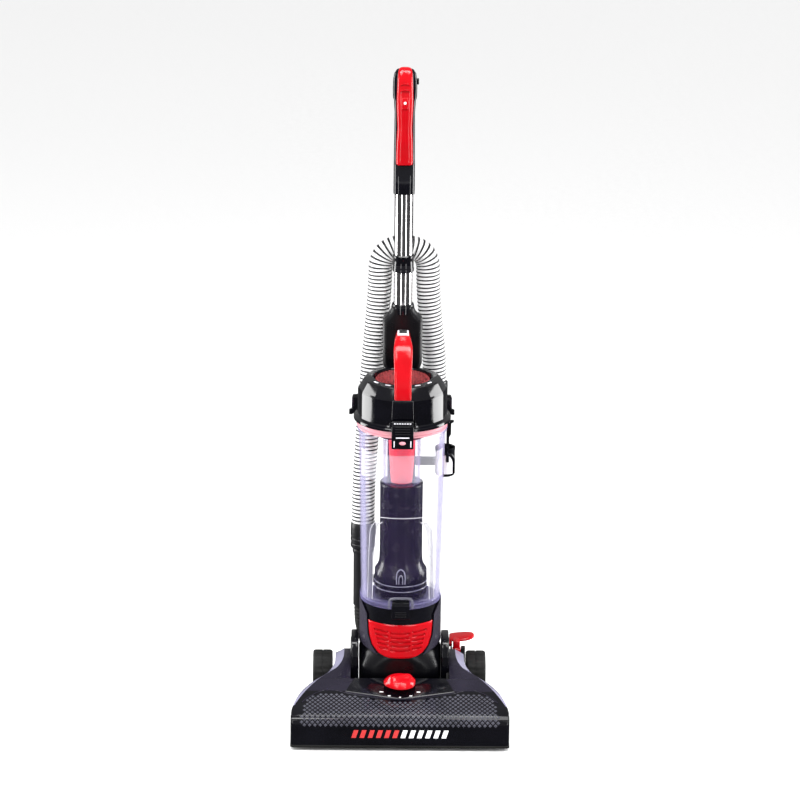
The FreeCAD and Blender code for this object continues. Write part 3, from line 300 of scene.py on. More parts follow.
def weld(piece):
    """Joins points that meet and turns the faces outwards."""
    work = bmesh.new()
    work.from_mesh(piece.data)
    bmesh.ops.remove_doubles(work, verts=work.verts, dist=1e-6)
    bmesh.ops.recalc_face_normals(work, faces=work.faces)
    work.to_mesh(piece.data)
    work.free()
    return piece


def apply_modifiers(piece):
    bpy.context.view_layer.update()
    ready = piece.evaluated_get(bpy.context.evaluated_depsgraph_get())
    mesh = bpy.data.meshes.new_from_object(ready)
    piece.modifiers.clear()
    piece.data = mesh
    return piece


def round_edges(piece, width, segments=3, angle=30.0):
    step = piece.modifiers.new("edges", "BEVEL")
    step.width = width * MM
    step.segments = segments
    step.limit_method = "ANGLE"
    step.angle_limit = math.radians(angle)
    return apply_modifiers(piece)


def subdivide(piece, levels):
    step = piece.modifiers.new("smooth", "SUBSURF")
    step.levels = levels
    step.render_levels = levels
    return apply_modifiers(piece)


def smooth_line(points, steps=8, closed=False):
    """A Catmull-Rom curve through the points."""
    pts = np.array(points, float)
    count = len(pts)
    spans = count if closed else count - 1
    out = []
    for k in range(spans):
        if closed:
            a, b, c, d = (pts[(k + i) % count] for i in (-1, 0, 1, 2))
        else:
            a, b, c, d = (pts[min(max(k + i, 0), count - 1)] for i in (-1, 0, 1, 2))
        for t in np.linspace(0, 1, steps, endpoint=False):
            out.append(0.5 * (2 * b + (c - a) * t + (2 * a - 5 * b + 4 * c - d) * t * t
                              + (3 * b - a - 3 * c + d) * t ** 3))
    if not closed:
        out.append(pts[-1])
    return np.array(out)


def prism(name, points, axis, low, high, edge=1.0, segments=3):
    """An outline drawn out along an axis, with rounded edges."""
    spots = {"X": lambda a, b, c: (c, a, b), "Y": lambda a, b, c: (a, c, b), "Z": lambda a, b, c: (a, b, c)}
    place = spots[axis]
    count = len(points)
    verts = [place(a, b, low) for a, b in points] + [place(a, b, high) for a, b in points]
    faces = [tuple(range(count)), tuple(range(2 * count - 1, count - 1, -1))]
    faces += [(k, (k + 1) % count, count + (k + 1) % count, count + k) for k in range(count)]
    piece = weld(new_piece(name, verts, faces))
    return round_edges(piece, edge, segments) if edge else piece


def block(name, x0, x1, y0, y1, z0, z1, edge=1.0, segments=3):
    return prism(name, [(x0, y0), (x1, y0), (x1, y1), (x0, y1)], "Z", z0, z1, edge, segments)


def loft(name, rings, caps=True, loop=True):
    """Skins over rings of points. loop joins each ring's ends."""
    count = len(rings[0])
    verts = [tuple(p) for ring in rings for p in ring]
    faces = []
    for r in range(len(rings) - 1):
        for k in range(count if loop else count - 1):
            n = (k + 1) % count
            faces.append((r * count + k, r * count + n, (r + 1) * count + n, (r + 1) * count + k))
    if caps:
        faces.append(tuple(range(count)))
        faces.append(tuple(range(len(verts) - 1, len(verts) - count - 1, -1)))
    return weld(new_piece(name, verts, faces))


def lathe(name, profile, steps=96, x=0.0, y=0.0, shape=None):
    """A profile of (radius, z) turned about an upright axis. shape(angle, radius, z) alters the radius.
    Angle 0 is the front."""
    rings = []
    for radius, z in profile:
        ring = []
        for angle in np.linspace(0, 2 * math.pi, steps, endpoint=False):
            r = shape(angle, radius, z) if shape else radius
            ring.append((x + r * math.sin(angle), y - r * math.cos(angle), z))
        rings.append(ring)
    return loft(name, rings, caps=False)


def frames_along(path):
    """Tangents and a steady pair of side directions along a path."""
    path = np.array(path, float)
    tangents = np.gradient(path, axis=0)
    tangents /= np.linalg.norm(tangents, axis=1)[:, None]
    side = np.cross(tangents[0], (0.0, 0.0, 1.0))
    if np.linalg.norm(side) < 0.1:
        side = np.cross(tangents[0], (0.0, 1.0, 0.0))
    sides = []
    for t in tangents:
        side = side - t * np.dot(side, t)
        side /= np.linalg.norm(side)
        sides.append(side)
    sides = np.array(sides)
    return tangents, sides, np.cross(tangents, sides)


def sweep(name, path, radius, sides=10, caps=True):
    """A round rod along a path. radius is a number or one for each point."""
    path = np.array(path, float)
    sizes = np.broadcast_to(np.asarray(radius, float), (len(path),))
    _, u, v = frames_along(path)
    turns = np.linspace(0, 2 * math.pi, sides, endpoint=False)
    rings = []
    for p, r, uu, vv in zip(path, sizes, u, v):
        rings.append([p + r * (math.cos(a) * uu + math.sin(a) * vv) for a in turns])
    return loft(name, rings, caps)


def join(name, pieces):
    """Makes one piece of several that share a material."""
    work = bmesh.new()
    for piece in pieces:
        work.from_mesh(piece.data)
        bpy.data.objects.remove(piece)
    mesh = bpy.data.meshes.new(name)
    work.to_mesh(mesh)
    work.free()
    joined = bpy.data.objects.new(name, mesh)
    link(joined)
    return joined


def dress(piece, material, body, replaces=(), angle=32.0):
    """Gives a piece its material and its body, and shades it smooth between sharp edges."""
    piece.data.materials.clear()
    piece.data.materials.append(M[material])
    piece.data.shade_smooth()
    piece.data.set_sharp_from_angle(angle=math.radians(angle))
    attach(piece, body)
    if replaces:
        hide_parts(*replaces)
    return piece


def mirrored(points):
    """A line from the left towards the middle, then its mirror image. A point on the middle comes once."""
    back = [(-a, b) for a, b in reversed(points)]
    return points + (back[1:] if points[-1][0] == 0 else back)


def at(line, value, column=0):
    """What a line of pairs gives for a value of one of its columns."""
    line = np.array(line, float)
    return float(np.interp(value, line[:, column], line[:, 1 - column]))


def distances(line):
    """How far along a line each of its points is."""
    return np.concatenate([[0.0], np.cumsum(np.linalg.norm(np.diff(line, axis=0), axis=1))])


def spot_at(line, along, distance):
    """The values of a line of rows at a distance along it."""
    return np.array([np.interp(distance, along, line[:, i]) for i in range(line.shape[1])])


def squared(value, power):
    """A sine or cosine pushed outwards, which turns a circle into a rounded square."""
    return math.copysign(abs(value) ** power, value)


def front_arc(radius, z, reach, count):
    """A level arc round the front, reaching as many radians to each side."""
    return [(radius * math.sin(a), -radius * math.cos(a), z) for a in np.linspace(-reach, reach, count)]


def clip(value, low, high):
    return max(low, min(high, value))


def ease(value, low, high):
    t = clip((value - low) / (high - low), 0.0, 1.0)
    return t * t * (3 - 2 * t)


# -------------------------------- hoses

def route_points(route):
    """Points along the NURBS spline whose control points are the route, in metres."""
    curve = bpy.data.curves.new("route", "CURVE")
    curve.dimensions = "3D"
    curve.resolution_u = 16
    spline = curve.splines.new("NURBS")
    spline.points.add(len(route) - 1)
    for point, spot in zip(spline.points, route):
        point.co = (*spot, 1.0)
    spline.order_u = 3
    spline.use_endpoint_u = True
    holder = bpy.data.objects.new("route", curve)
    link(holder)
    mesh = bpy.data.meshes.new_from_object(holder)
    points = np.array([v.co for v in mesh.vertices])
    bpy.data.objects.remove(holder)
    return points


def ribbed_hose(name, points, radius, pitch, wire, sides=28):
    """A tube with a wire helix: rows of points follow the helix, six rows to a turn of the wire."""
    points = np.array(points) / MM
    along = distances(points)
    _, u, v = frames_along(points)
    depth = [wire, wire * 0.75, 0.0, -0.3 * wire, 0.0, wire * 0.75]
    share = [0.0, 0.20, 0.38, 0.50, 0.62, 0.80]
    rows = int(along[-1] / pitch * 6) + 14
    verts = []
    for row in range(rows):
        for k in range(sides):
            angle = 2 * math.pi * k / sides
            s = clip((row // 6 - 1 + share[row % 6] + k / sides) * pitch, 0.0, along[-1])
            spot, uu, vv = (spot_at(rows_of, along, s) for rows_of in (points, u, v))
            r = radius - wire + depth[row % 6]
            verts.append(spot + r * (math.cos(angle) * uu + math.sin(angle) * vv))
    faces = []
    marks = []
    for row in range(rows - 7):
        for k in range(sides):
            here, above = row * sides + k, (row + 1) * sides + k
            if k < sides - 1:
                faces.append((here, here + 1, above + 1, above))
            else:
                faces.append((here, (row + 6) * sides, (row + 7) * sides, above))
            marks.append(0 if row % 6 in (0, 5) else 1)
    piece = new_piece(name, verts, faces)
    piece.data.materials.append(M["wire"])
    piece.data.materials.append(M["web"])
    piece.data.polygons.foreach_set("material_index", marks)
    piece.data.shade_smooth()
    return piece


def add_hose():
    line = route_points(HOSE_ROUTE)
    hose = ribbed_hose("stretch_hose", line, HOSE_RADIUS, WIRE_PITCH, 1.0)
    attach(hose, "upright")
    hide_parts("hose")
    cuff = lathe("hose_end_cuff", [
        (15.6, 251), (19.2, 249.4), (20.4, 251), (20.4, 256), (19.6, 257), (19.6, 260), (20.4, 261),
        (20.4, 265), (19.6, 266), (19.6, 269), (20.4, 270), (20.4, 284), (19.6, 290), (18.6, 291.9),
        (15.9, 291.9), (15.6, 251),
    ], 64, -60, 95)
    dress(cuff, "black_satin", "upright", ["hose_cuff"])


def add_foot_hose():
    """The short bellows between the foot's duct and the suction pipe."""
    line = route_points(FOOT_ROUTE) / MM
    along = distances(line)
    spots = np.arange(0.0, along[-1], 1.0)
    path = np.array([spot_at(line, along, s) for s in spots])
    radii = [13.2 + 1.3 * math.cos(2 * math.pi * s / 6.0) for s in spots]
    hose = sweep("foot_hose", path, radii, 28, caps=False)
    hose.data.materials.append(M["rubber"])
    hose.data.shade_smooth()
    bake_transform(hose)


# -------------------------------- floor head

HEAD_PLAN = [
    (167, -153), (171, -149), (170.5, -136), (167, -118), (159, -92), (149, -74), (137, -60), (124, -48.5),
    (112, -36), (104.5, -16), (103, 10), (103, 60), (103, 110),
]
HEAD_TOP = [
    (-153, 38), (-152.8, 43), (-151.5, 48), (-148.5, 52.5), (-144, 56.4), (-138, 59.6), (-130, 62.6),
    (-116, 67.4), (-98, 74), (-82, 79.6), (-66, 85), (-46, 91.5), (-30, 96.6), (-14, 100), (6, 101),
    (24, 101), (31, 97), (36, 88), (41, 74), (46, 66), (60, 63.5), (84, 61), (100, 59), (106, 55),
    (110, 44),
]


DIAL_Y = -87
BRUSH_Y = -111
BRUSH_Z = 27
PIVOT_Z = 98


def head_height(y):
    """The height of the cover's top surface."""
    return at(HEAD_TOP, y)


def half_width(y):
    """Half the cover's width at a given y."""
    return at(smooth_line(HEAD_PLAN, 6), y, 1)


def shoulder_run(y):
    """How far in from the cover's side its sloped shoulder reaches."""
    return 2.0 + 12.0 * ease(y, -138, -70)


def add_cover():
    """The nozzle's cover, skinned over cross sections, with a recess for the motor between its two tails."""
    foot = 8.0
    recess = 78.0
    def section(y, inner):
        """One half of a cross section, from the given inner x out and down to the foot."""
        width, top, run = half_width(y), head_height(y), shoulder_run(y)
        drop = min(0.62 * run, max(1.0, top - 14))
        if y > 30:
            drop = min(drop, 4.0)
        return [(inner, y, top), (width - run, y, top), (width, y, top - drop), (width, y, foot)]

    front = []
    for y in np.concatenate([[-153, -152.8], np.linspace(-152.4, -124, 38), np.linspace(-123, -65, 26)]):
        right = section(y, 40.0)
        front.append([(-a, b, c) for a, b, c in reversed(right)] + right)
    shells = [loft("nozzle_front", front, caps=True, loop=False)]
    for side in (-1, 1):
        rows = []
        for y in np.linspace(-65, 110, 71):
            rows.append([(side * a, b, c) for a, b, c in [(recess, y, foot)] + section(y, recess)])
        shells.append(loft("nozzle_tail", rows, caps=True, loop=False))
    body = join("nozzle_shell", shells)
    round_edges(body, 0.8, 2, 32)
    step = body.modifiers.new("wall", "SOLIDIFY")
    step.thickness = 0.0024
    step.offset = -1.0
    apply_modifiers(body)
    dress(body, "black_gloss", "floor_head", ["nozzle_cover"], 30)
    for material in ("black_painted_lit", "painted_sheen"):
        body.data.materials.append(M[material])
    for face in body.data.polygons:
        x, y = abs(face.center.x) / MM, face.center.y / MM
        # Upward faces behind the patterned band get the lighter black: painted light on the top.
        if face.normal.z > 0.9 and y > panel_back(x) + 3:
            face.material_index = 1
        # The sloped shoulder faces get the lavender: painted reflection of the studio light.
        if 0.4 < face.normal.z < 0.97 and x > half_width(y) - shoulder_run(y) + 0.5 and -124 < y < 30:
            face.material_index = 2


def add_bumper():
    """The thin soft lip along the foot of the front face."""
    strip = mirrored([(-168, -154.6), (-171.6, -151), (-171.8, -128)])
    lip = prism("front_lip", strip, "Z", 5.2, 9.2, 0.8, 2)
    dress(lip, "rubber", "floor_head", ["front_bumper"])


def panel_back(x):
    """How far back the patterned band reaches at a given x: two humps beside the dial panel."""
    line = [
        (0, -112.5), (18, -112), (50, -106.5), (84, -99), (100, -93), (118, -92), (132, -99), (146, -110),
        (156, -122),
    ]
    return at(line, abs(x))


def add_texture():
    """Rows of small diamond bumps over the front edge and up the slope."""
    line = smooth_line([(-153, 40)] + HEAD_TOP[1:9], 8)
    along = distances(line)
    verts = []
    faces = []
    pitch = 8.3
    row_step = 4.5
    reach = 3.2
    half = 3.1
    sunk = 0.1
    raised = 1.6
    for row in range(int(along[-1] / row_step)):
        s = row * row_step + 3.0
        y, z = spot_at(line, along, s)
        y1, z1 = spot_at(line, along, s + reach)
        y0, z0 = spot_at(line, along, s - reach)
        length = math.hypot(y1 - y0, z1 - z0)
        out_y = -(z1 - z0) / length
        out_z = (y1 - y0) / length
        for k in range(-19, 20):
            x = (k + 0.5 * (row % 2)) * pitch
            if y > panel_back(x) - 2 or abs(x) > 156 - 0.22 * (y + 153):
                continue
            first = len(verts)
            verts += [
                (x - half, y - sunk * out_y, z - sunk * out_z), (x, y0 - sunk * out_y, z0 - sunk * out_z),
                (x + half, y - sunk * out_y, z - sunk * out_z), (x, y1 - sunk * out_y, z1 - sunk * out_z),
                (x, y + raised * out_y, z + raised * out_z),
            ]
            faces += [(first, first + 1, first + 4), (first + 1, first + 2, first + 4)]
            faces += [(first + 2, first + 3, first + 4), (first + 3, first, first + 4)]
    band = new_piece("diamond_band", verts, faces)
    # The bumps' lighter grey is a painted glint.
    band.data.materials.append(M["bump_painted_glint"])
    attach(band, "floor_head")
    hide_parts("texture_panel")
    border = [(x, panel_back(x) + 1.0) for x in np.linspace(-154, 154, 90)]
    rim = sweep("band_rim", [(x, y, head_height(y) + 0.1) for x, y in border], 0.9, 8)
    # The border ridge in the lighter black: a painted highlight line.
    dress(rim, "black_painted_lit", "floor_head")


def add_front_marks():
    """A plain row of slanted dashes, half of them red and half white."""
    for name, material, start in (("red_dashes", "print_red", -76), ("white_dashes", "print_white", 1)):
        dashes = []
        for k in range(6):
            x = start + 12.8 * k
            outline = [(x, 22), (x + 7.2, 22), (x + 11.2, 35), (x + 4.0, 35)]
            dashes.append(prism("dash", outline, "Y", -153.35, -152.9, 0))
        dress(join(name, dashes), material, "floor_head")


def add_dial_panel():
    """The glossy panel round the dial, with its curved front ridge and its printed ticks."""
    ridge = smooth_line(mirrored([(-86, -97), (-66, -101), (-40, -106), (-16, -110.5), (0, -112)]), 10)
    back = -66.0
    rows = []
    for x, y in ridge:
        ring = []
        for t in (0.0, 0.04, 0.1, 0.3, 0.6, 1.0):
            yy = y + (back - y) * t
            lift = -0.2 if t == 0 else 1.6 + 0.5 * math.sin(math.pi * t)
            ring.append((x * (1 - 0.16 * t), yy, head_height(yy) + lift))
        rows.append(ring)
    panel = loft("dial_surround", rows, caps=False, loop=False)
    dress(panel, "black_gloss", "floor_head", ["dial_panel"], 50)
    lip = sweep("dial_lip", [(x, y - 0.2, head_height(y) + 1.3) for x, y in ridge], 1.1, 8)
    # The lip in the lighter black: a painted highlight line along the ridge.
    dress(lip, "black_painted_lit", "floor_head")
    ticks = []
    for k, angle in enumerate((-62, -31, 0, 31, 62)):
        a = math.radians(angle)
        x, y = 33 * math.sin(a), DIAL_Y - 0.66 * 33 * math.cos(a)
        z = head_height(y) + 2.1
        half = 1.6 + 0.7 * abs(k - 2)
        ticks.append(block("tick", x - half, x + half, y - 1.1, y + 1.1, z - 0.6, z + 0.5, 0.3, 2))
    dress(join("dial_ticks", ticks), "print_white", "floor_head")


def add_knob():
    """The red dial: a low dome with a thumb ridge that winds across it."""
    rings = []
    for t in np.linspace(0, 1, 26):
        ring = []
        for a in np.linspace(0, 2 * math.pi, 72, endpoint=False):
            reach = 24.9 * (1.0 - 0.035 * math.cos(3 * a + 0.6))
            r = reach * min(1.0, 1.04 * math.sin(t * math.pi / 2) ** 0.9)
            x, y = r * math.cos(a), r * math.sin(a)
            wave = y + 3.0 - 5.0 * math.sin(x / 24.0 * math.pi)
            dome = 9.5 * (1 - (r / 26.5) ** 5)
            ridge = 4.4 * math.exp(-(wave / 6.5) ** 2) * (1 - ease(r, 15, 24))
            ring.append((x, y + DIAL_Y, 88.6 + max(0.0, dome) + ridge if t < 0.97 else 86.2))
        rings.append(ring)
    knob = loft("height_dial", rings)
    dress(knob, "red_gloss", "dial", ["height_knob"], 45)


def add_yokes():
    """The two arms that hold the body's pivot, each with a raised pad on its outer face."""
    outline = smooth_line([
        (-33, 11), (0, 10.5), (33, 11), (39, 40), (40, 72), (39.5, 108), (33, 126), (20, 135.5), (0, 138),
        (-20, 135.5), (-33, 126), (-39.5, 108), (-40, 72), (-39, 40),
    ], 6, True)
    for side, name in ((1, "right"), (-1, "left")):
        low, high = (65.9, 77.8) if side > 0 else (-77.8, -65.9)
        blade = prism("yoke_blade_" + name, [tuple(p) for p in outline], "X", low, high, 2.2, 4)
        dress(blade, "black_gloss", "floor_head", ["yoke_arm_" + name])
        pad = [(y * 0.72, PIVOT_Z + (z - PIVOT_Z) * 0.72) for y, z in outline if z > 60]
        low, high = (77.2, 78.9) if side > 0 else (-78.9, -77.2)
        pad = prism("yoke_pad_" + name, pad, "X", low, high, 0.8, 3)
        dress(pad, "black_gloss", "floor_head")


def add_wheels():
    """Rear wheels with a grooved tread, a dished side and five spokes."""
    for side, name in ((1, "right"), (-1, "left")):
        def tread(angle, r, z):
            notch = 0.5 + 0.5 * math.tanh(6 * math.cos(24 * angle))
            return r - 1.3 * notch * ease(r, 34.5, 36.5) * (1 - ease(abs(z - 16), 9.5, 12))
        tyre = lathe("wheel_tyre_" + name, [
            (26, 2), (31, 1), (34, 0.2), (36, 1.5), (36.9, 4), (36.9, 15.5), (35.2, 15.6), (35.2, 16.4),
            (36.9, 16.5), (36.9, 28), (36, 30.6), (34, 31.9), (31.5, 31.9), (30, 29), (28.5, 27.6),
            (26, 27.4), (26, 2),
        ], 192, shape=tread)
        hub = lathe("wheel_hub_" + name, [
            (4.2, 1), (26.2, 2.2), (26.2, 27.3), (24.5, 27.2), (22.5, 25.6), (13, 25.2), (11.5, 28.6),
            (10, 30.3), (4.2, 30.8), (4.2, 1),
        ], 96)
        spokes = []
        for k in range(5):
            spoke = block("spoke", 11, 24.5, -2.2, 2.2, 24.8, 27.4, 0.8)
            spoke.data.transform(Matrix.Rotation(2 * math.pi * k / 5, 4, "Z"))
            spokes.append(spoke)
        star = join("wheel_spokes_" + name, spokes)
        spot = Matrix.Translation((side * 0.108, 0.078, 0.037)) @ Matrix.Rotation(side * math.pi / 2, 4, "Y")
        for piece in (tyre, hub, star):
            piece.data.transform(spot)
        dress(tyre, "rubber", "wheel_" + name, ["rear_wheel_" + name], 40)
        dress(hub, "black_satin", "wheel_" + name)
        dress(star, "black_satin", "wheel_" + name)


def add_pedal():
    """The red foot pedal: a crowned pad, its web, stem and hub, and the black post that carries it."""
    rings = []
    for x, low, high, front, back in (
        (80.3, 98.9, 102.8, 60, 86), (82, 98.6, 104.2, 56.5, 89.5), (92, 98.6, 105.0, 56.0, 91.6),
        (104, 98.7, 106.0, 57, 91.8), (113, 99.4, 106.8, 60, 90), (118.5, 101.2, 106.4, 64.5, 87.5),
        (121.2, 102.4, 104.6, 68.5, 84.5),
    ):
        ring = [(x, front + 2, low), (x, front, (low + high) / 2), (x, front + 2.5, high - 0.4),
                (x, (front + back) / 2, high + 0.3), (x, back - 2.5, high - 0.2), (x, back, (low + high) / 2),
                (x, back - 2, low), (x, (front + back) / 2, low)]
        rings.append(ring)
    pad = subdivide(loft("pedal_pad", rings), 2)
    dress(pad, "red_gloss", "pedal", ["release_pedal"], 50)
    web = [(56, 97), (60, 103), (68, 103), (68, 99), (66, 95), (64, 92), (58, 91)]
    web = prism("pedal_web", web, "X", 80.5, 85, 1.0)
    stem = block("pedal_stem", 86.5, 97.5, 48.5, 65.5, 84, 104.5, 2.0)
    hub = sweep("pedal_hub", [(85.6, 52, 86), (98.4, 52, 86)], 6.4, 32)
    for piece in (web, stem, hub):
        dress(piece, "red_gloss", "pedal")
    post = block("pedal_post", 99.4, 106.0, 47.5, 57.0, 62.0, 93.5, 1.2)
    dress(post, "black_satin", "floor_head")


# -------------------------------- dust cup

def wall_radius(z):
    """The cup's outside radius."""
    return 64.0 + 5.6 * (z - 206.0) / 281.0


def add_cup():
    """The clear cup: a tapered wall with a raised arch on the front, as thick as it really is."""
    def raised(angle, r, z):
        a = math.atan2(math.sin(angle), math.cos(angle))
        x = abs(r * math.sin(a))
        if abs(a) > 1.4:
            return r
        half = 50.5 if z < 333 else 50.5 - 0.66 * (z - 333)
        inside = 1.0 - ease(x, half - 7.0, half)
        return r + 2.3 * inside * (1.0 - ease(z, 346, 354)) * ease(z, 211, 216)
    heights = np.concatenate([
        np.linspace(206.3, 218, 7), np.linspace(222, 338, 30), np.linspace(340, 358, 13),
        np.linspace(364, 480, 20), [483, 484.5, 486.8],
    ])
    profile = [(wall_radius(z) - 1.6, z) for z in heights]
    profile[-1] = (wall_radius(487) - 0.2, 486.8)
    profile[-2] = (wall_radius(487) - 0.2, 484.5)
    inner = [(wall_radius(z) - 3.6, z) for z in heights[::-1]]
    wall = lathe("cup_wall", profile + inner + profile[:1], 180, shape=raised)
    dress(wall, "cup_clear", "cup", ["dust_cup"], 50)
    rings = []
    for z, r in ((484.6, 69.9), (482.2, 69.4), (209.0, 64.0)):
        circle = [(r * math.sin(a), -r * math.cos(a), z) for a in np.linspace(0, 2 * math.pi, 121)]
        rings.append(sweep("ring", circle, 0.7, 8, caps=False))
    dress(join("cup_rings", rings), "lilac_clear", "cup")


def on_wall(x, z, out=0.0):
    """The point on the cup's front at a given x and z."""
    r = wall_radius(z) + out
    return (x, -math.sqrt(r * r - x * x), z)


def add_cup_lines():
    """The arch's moulded edges as pale rods, a painted highlight; the bevel between them under a grey film,
    painted shade; and a rib inside each side of the cup.
    """
    outer = [(52.0, 214), (51.2, 262), (50.2, 300), (48.0, 331), (38, 350), (33, 354.5), (0, 355.5)]
    inner = [(45.0, 214), (43.4, 262), (41.5, 300), (39.4, 326), (35, 341), (30, 347)]
    lines = [smooth_line(outer + [(-x, z) for x, z in outer[-2::-1]], 6)]
    for side, name in ((-1, "left"), (1, "right")):
        lines.append(smooth_line([(side * x, z) for x, z in inner], 6))
        rows = []
        for z in np.linspace(214, 346, 24):
            low, high = (at(edge, z, 1) for edge in (inner, outer))
            rows.append([on_wall(side * x, z, 0.9) for x in np.linspace(low, high, 6)])
        bevel = loft("arch_bevel_" + name, rows, caps=False, loop=False)
        # A grey film over the clear bevel: painted shade.
        dress(bevel, "smoke_and_painted_shade", "cup", (), 60)
        rib = []
        for z in np.linspace(212, 478, 24):
            reach = wall_radius(z) / 69.6
            rib.append([on_wall(side * x * reach, z, -3.8) for x in np.linspace(58.0, 63.2, 6)])
        rib = loft("cup_rib_" + name, rib, caps=False, loop=False)
        dress(rib, "rib_clear", "cup", (), 60)
    # Pale rods along the arch's edges: painted highlights on the clear moulding.
    ribs = [sweep("rib", [on_wall(x, z, 0.7) for x, z in line], 0.42, 8) for line in lines]
    dress(join("arch_ribs", ribs), "pale_trim_and_highlight", "cup")


def add_label():
    """A plain pale film round the front of the cup's upper part."""
    rings = []
    for z in np.linspace(414, 459, 8):
        rings.append([on_wall(x, z, 0.15) for x in 66.5 * np.sin(np.linspace(-1.25, 1.25, 70))])
    film = loft("cup_label", rings, caps=False, loop=False)
    dress(film, "label_film", "cup", (), 60)


def add_floor_latch():
    """The black lever under the clear arch at the cup's foot."""
    lever = prism("floor_lever_pad", [
        (-66.6, 187.4), (-66.0, 207), (-66.7, 215.6), (-69.6, 215.8), (-71.4, 206), (-70.4, 188),
    ], "X", -14.2, 14.2, 1.0, 3)
    dress(lever, "black_gloss", "floor_lever", ["floor_latch"])
    grips = [block("grip", -9, 9, -71.9, -70.0, z, z + 1.3, 0.5, 2) for z in (192, 195.5, 199)]
    dress(join("floor_lever_grips", grips), "black_satin", "floor_lever")
    path = smooth_line(mirrored([(-18.2, 206.5), (-18.4, 214), (-16.5, 220.5), (-11, 222.5), (0, 222.8)]), 6)
    guard = sweep("latch_guard", [(x, -68.6, z) for x, z in path], 2.1, 10)
    dress(guard, "smoke_and_painted_shade", "cup")
    plate = block("latch_window", -13.5, 13.5, -67.8, -66.4, 208.5, 219.5, 0.6, 2)
    dress(plate, "black_gloss", "cup")


def add_cyclone():
    """What shows through the cup: the navy shroud, the clear cylinder and the red cone."""
    def pleats(angle, r, z):
        soft = ease(z, 262, 280) * (1 - ease(z, 384, 392))
        return r - 0.5 * soft * (0.5 + 0.5 * math.tanh(4 * math.cos(16 * angle)))
    shroud = lathe("cyclone_shroud", [
        (15, 391.8), (32.5, 391.8), (34, 390.5), (34, 392.5), (33.2, 393.6), (14, 393.6), (14, 393.6),
        (33.8, 393.4), (34, 388), (34, 380), (34, 330), (34, 282), (34.2, 266), (35.5, 258), (38.5, 252.5),
        (41.3, 248), (41.5, 240), (41.5, 228), (40.6, 227.4), (40.6, 225.6), (41.5, 225), (41.5, 214),
        (40.8, 212.4), (39.9, 212.4), (39.9, 214),
    ], 128, shape=pleats)
    dress(shroud, "navy_gloss", "lid", ["shroud"], 40)
    arcs = []
    for z, reach in ((231.5, 41.9), (222.5, 41.9)):
        arcs.append(sweep("arc", front_arc(reach, z, 1.5, 60), 0.7, 8))
    key = smooth_line(mirrored([(-6.5, 236), (-6.8, 246), (-5.5, 256), (0, 261)]), 6)
    for wide, tall, wire in ((1.0, 1.0, 0.9), (0.45, 0.6, 0.8)):
        path = [(x * wide, -math.sqrt(42.3 ** 2 - x * x), 236 + (z - 236) * tall) for x, z in key]
        arcs.append(sweep("key", path, wire, 8))
    # The shroud's arcs and key lines in the lavender: painted highlights.
    dress(join("shroud_trim", arcs), "painted_sheen", "lid")
    flange = lathe("cyclone_flange", [
        (29.7, 474), (40.6, 474), (41.5, 475.2), (41.5, 484), (40.6, 485.2), (29.7, 485.2), (29.7, 474),
    ], 96)
    dress(flange, "maroon", "lid")
    cone = lathe("cyclone_funnel", [
        (15.2, 394.4), (16.8, 394.4), (18.0, 410), (19.8, 440), (21.4, 467), (22.6, 469.6), (27.2, 470.2),
        (27.2, 472.8), (20.6, 472.8), (19.0, 468), (15.2, 400), (15.2, 394.4),
    ], 96)
    # The cone's red is lightened to offset the shade under the lid and behind the clear walls: painted light.
    dress(cone, "red_painted_lit", "lid", ["cyclone_cone"])
    foot = lathe("shroud_foot", [
        (20, 209.5), (41.0, 209.5), (41.6, 210.1), (41.6, 211.6), (41.0, 212.2), (20, 212.2), (20, 209.5),
    ], 96)
    dress(foot, "navy_gloss", "lid")


# -------------------------------- lid

FACETS = 14
LID_BACK = 0.0686


def facet(angle, r, z):
    """The lid's wall is made of flat facets, one facing the front. The rim and the top are round."""
    if r < 50 or z < 506:
        return r
    step = 2 * math.pi / FACETS
    local = (angle + step / 2) % step - step / 2
    flat = r * math.cos(step / 2) / math.cos(local)
    return flat + 0.35 * (r - flat) + 0.6


def cut_back(piece):
    """Flattens a round piece behind, where the lid meets the spine."""
    for v in piece.data.vertices:
        v.co.y = min(v.co.y, LID_BACK)


def add_lid():
    """The faceted lid with its dished top, cut flat behind."""
    profile = [
        (67.6, 499.2), (75.2, 499.2), (76, 500.2), (76, 503), (75.2, 504.2), (71.2, 505.4), (69.6, 507),
        (69.2, 512), (69.2, 530), (69.0, 547), (68.2, 550.2), (66.4, 553), (60.2, 563.2), (58.6, 564.9),
        (56.5, 565.4), (47.5, 566.9), (45.4, 566.6), (44.2, 565), (43.6, 561.6), (36.2, 560.4),
        (36.2, 557.6), (59.5, 557.6), (67.2, 549), (67.2, 499.2), (67.6, 499.2),
    ]
    shell = lathe("lid_cover", profile, FACETS * 16, shape=facet)
    cut_back(shell)
    dress(shell, "black_gloss", "lid", ["lid_shell"], 12)
    front = [(-17.2, 506), (17.2, 506), (16.2, 549.5), (-16.2, 549.5)]
    front = prism("lid_front_panel", front, "Y", -71.9, -66, 0.9, 3)
    dress(front, "black_gloss", "lid")
    ears = [block("ear", x - 1.0, x + 1.0, -81.6, -66, 509.2, 516.8, 0.8) for x in (-19.6, 19.6)]
    dress(join("clip_ears", ears), "black_gloss", "lid")
    notches = []
    for angle in (-52, -26, 26, 52):
        spot = block("notch", -4.6, 4.6, -1.4, 1.4, 0, 1.2, 0.5, 2)
        turn = Matrix.Rotation(math.radians(angle), 4, "Z")
        spot.data.transform(turn @ Matrix.Translation((0, -0.0522, 0.5661)))
        notches.append(spot)
    dress(join("lid_lock_marks", notches), "pale_trim_and_highlight", "lid")


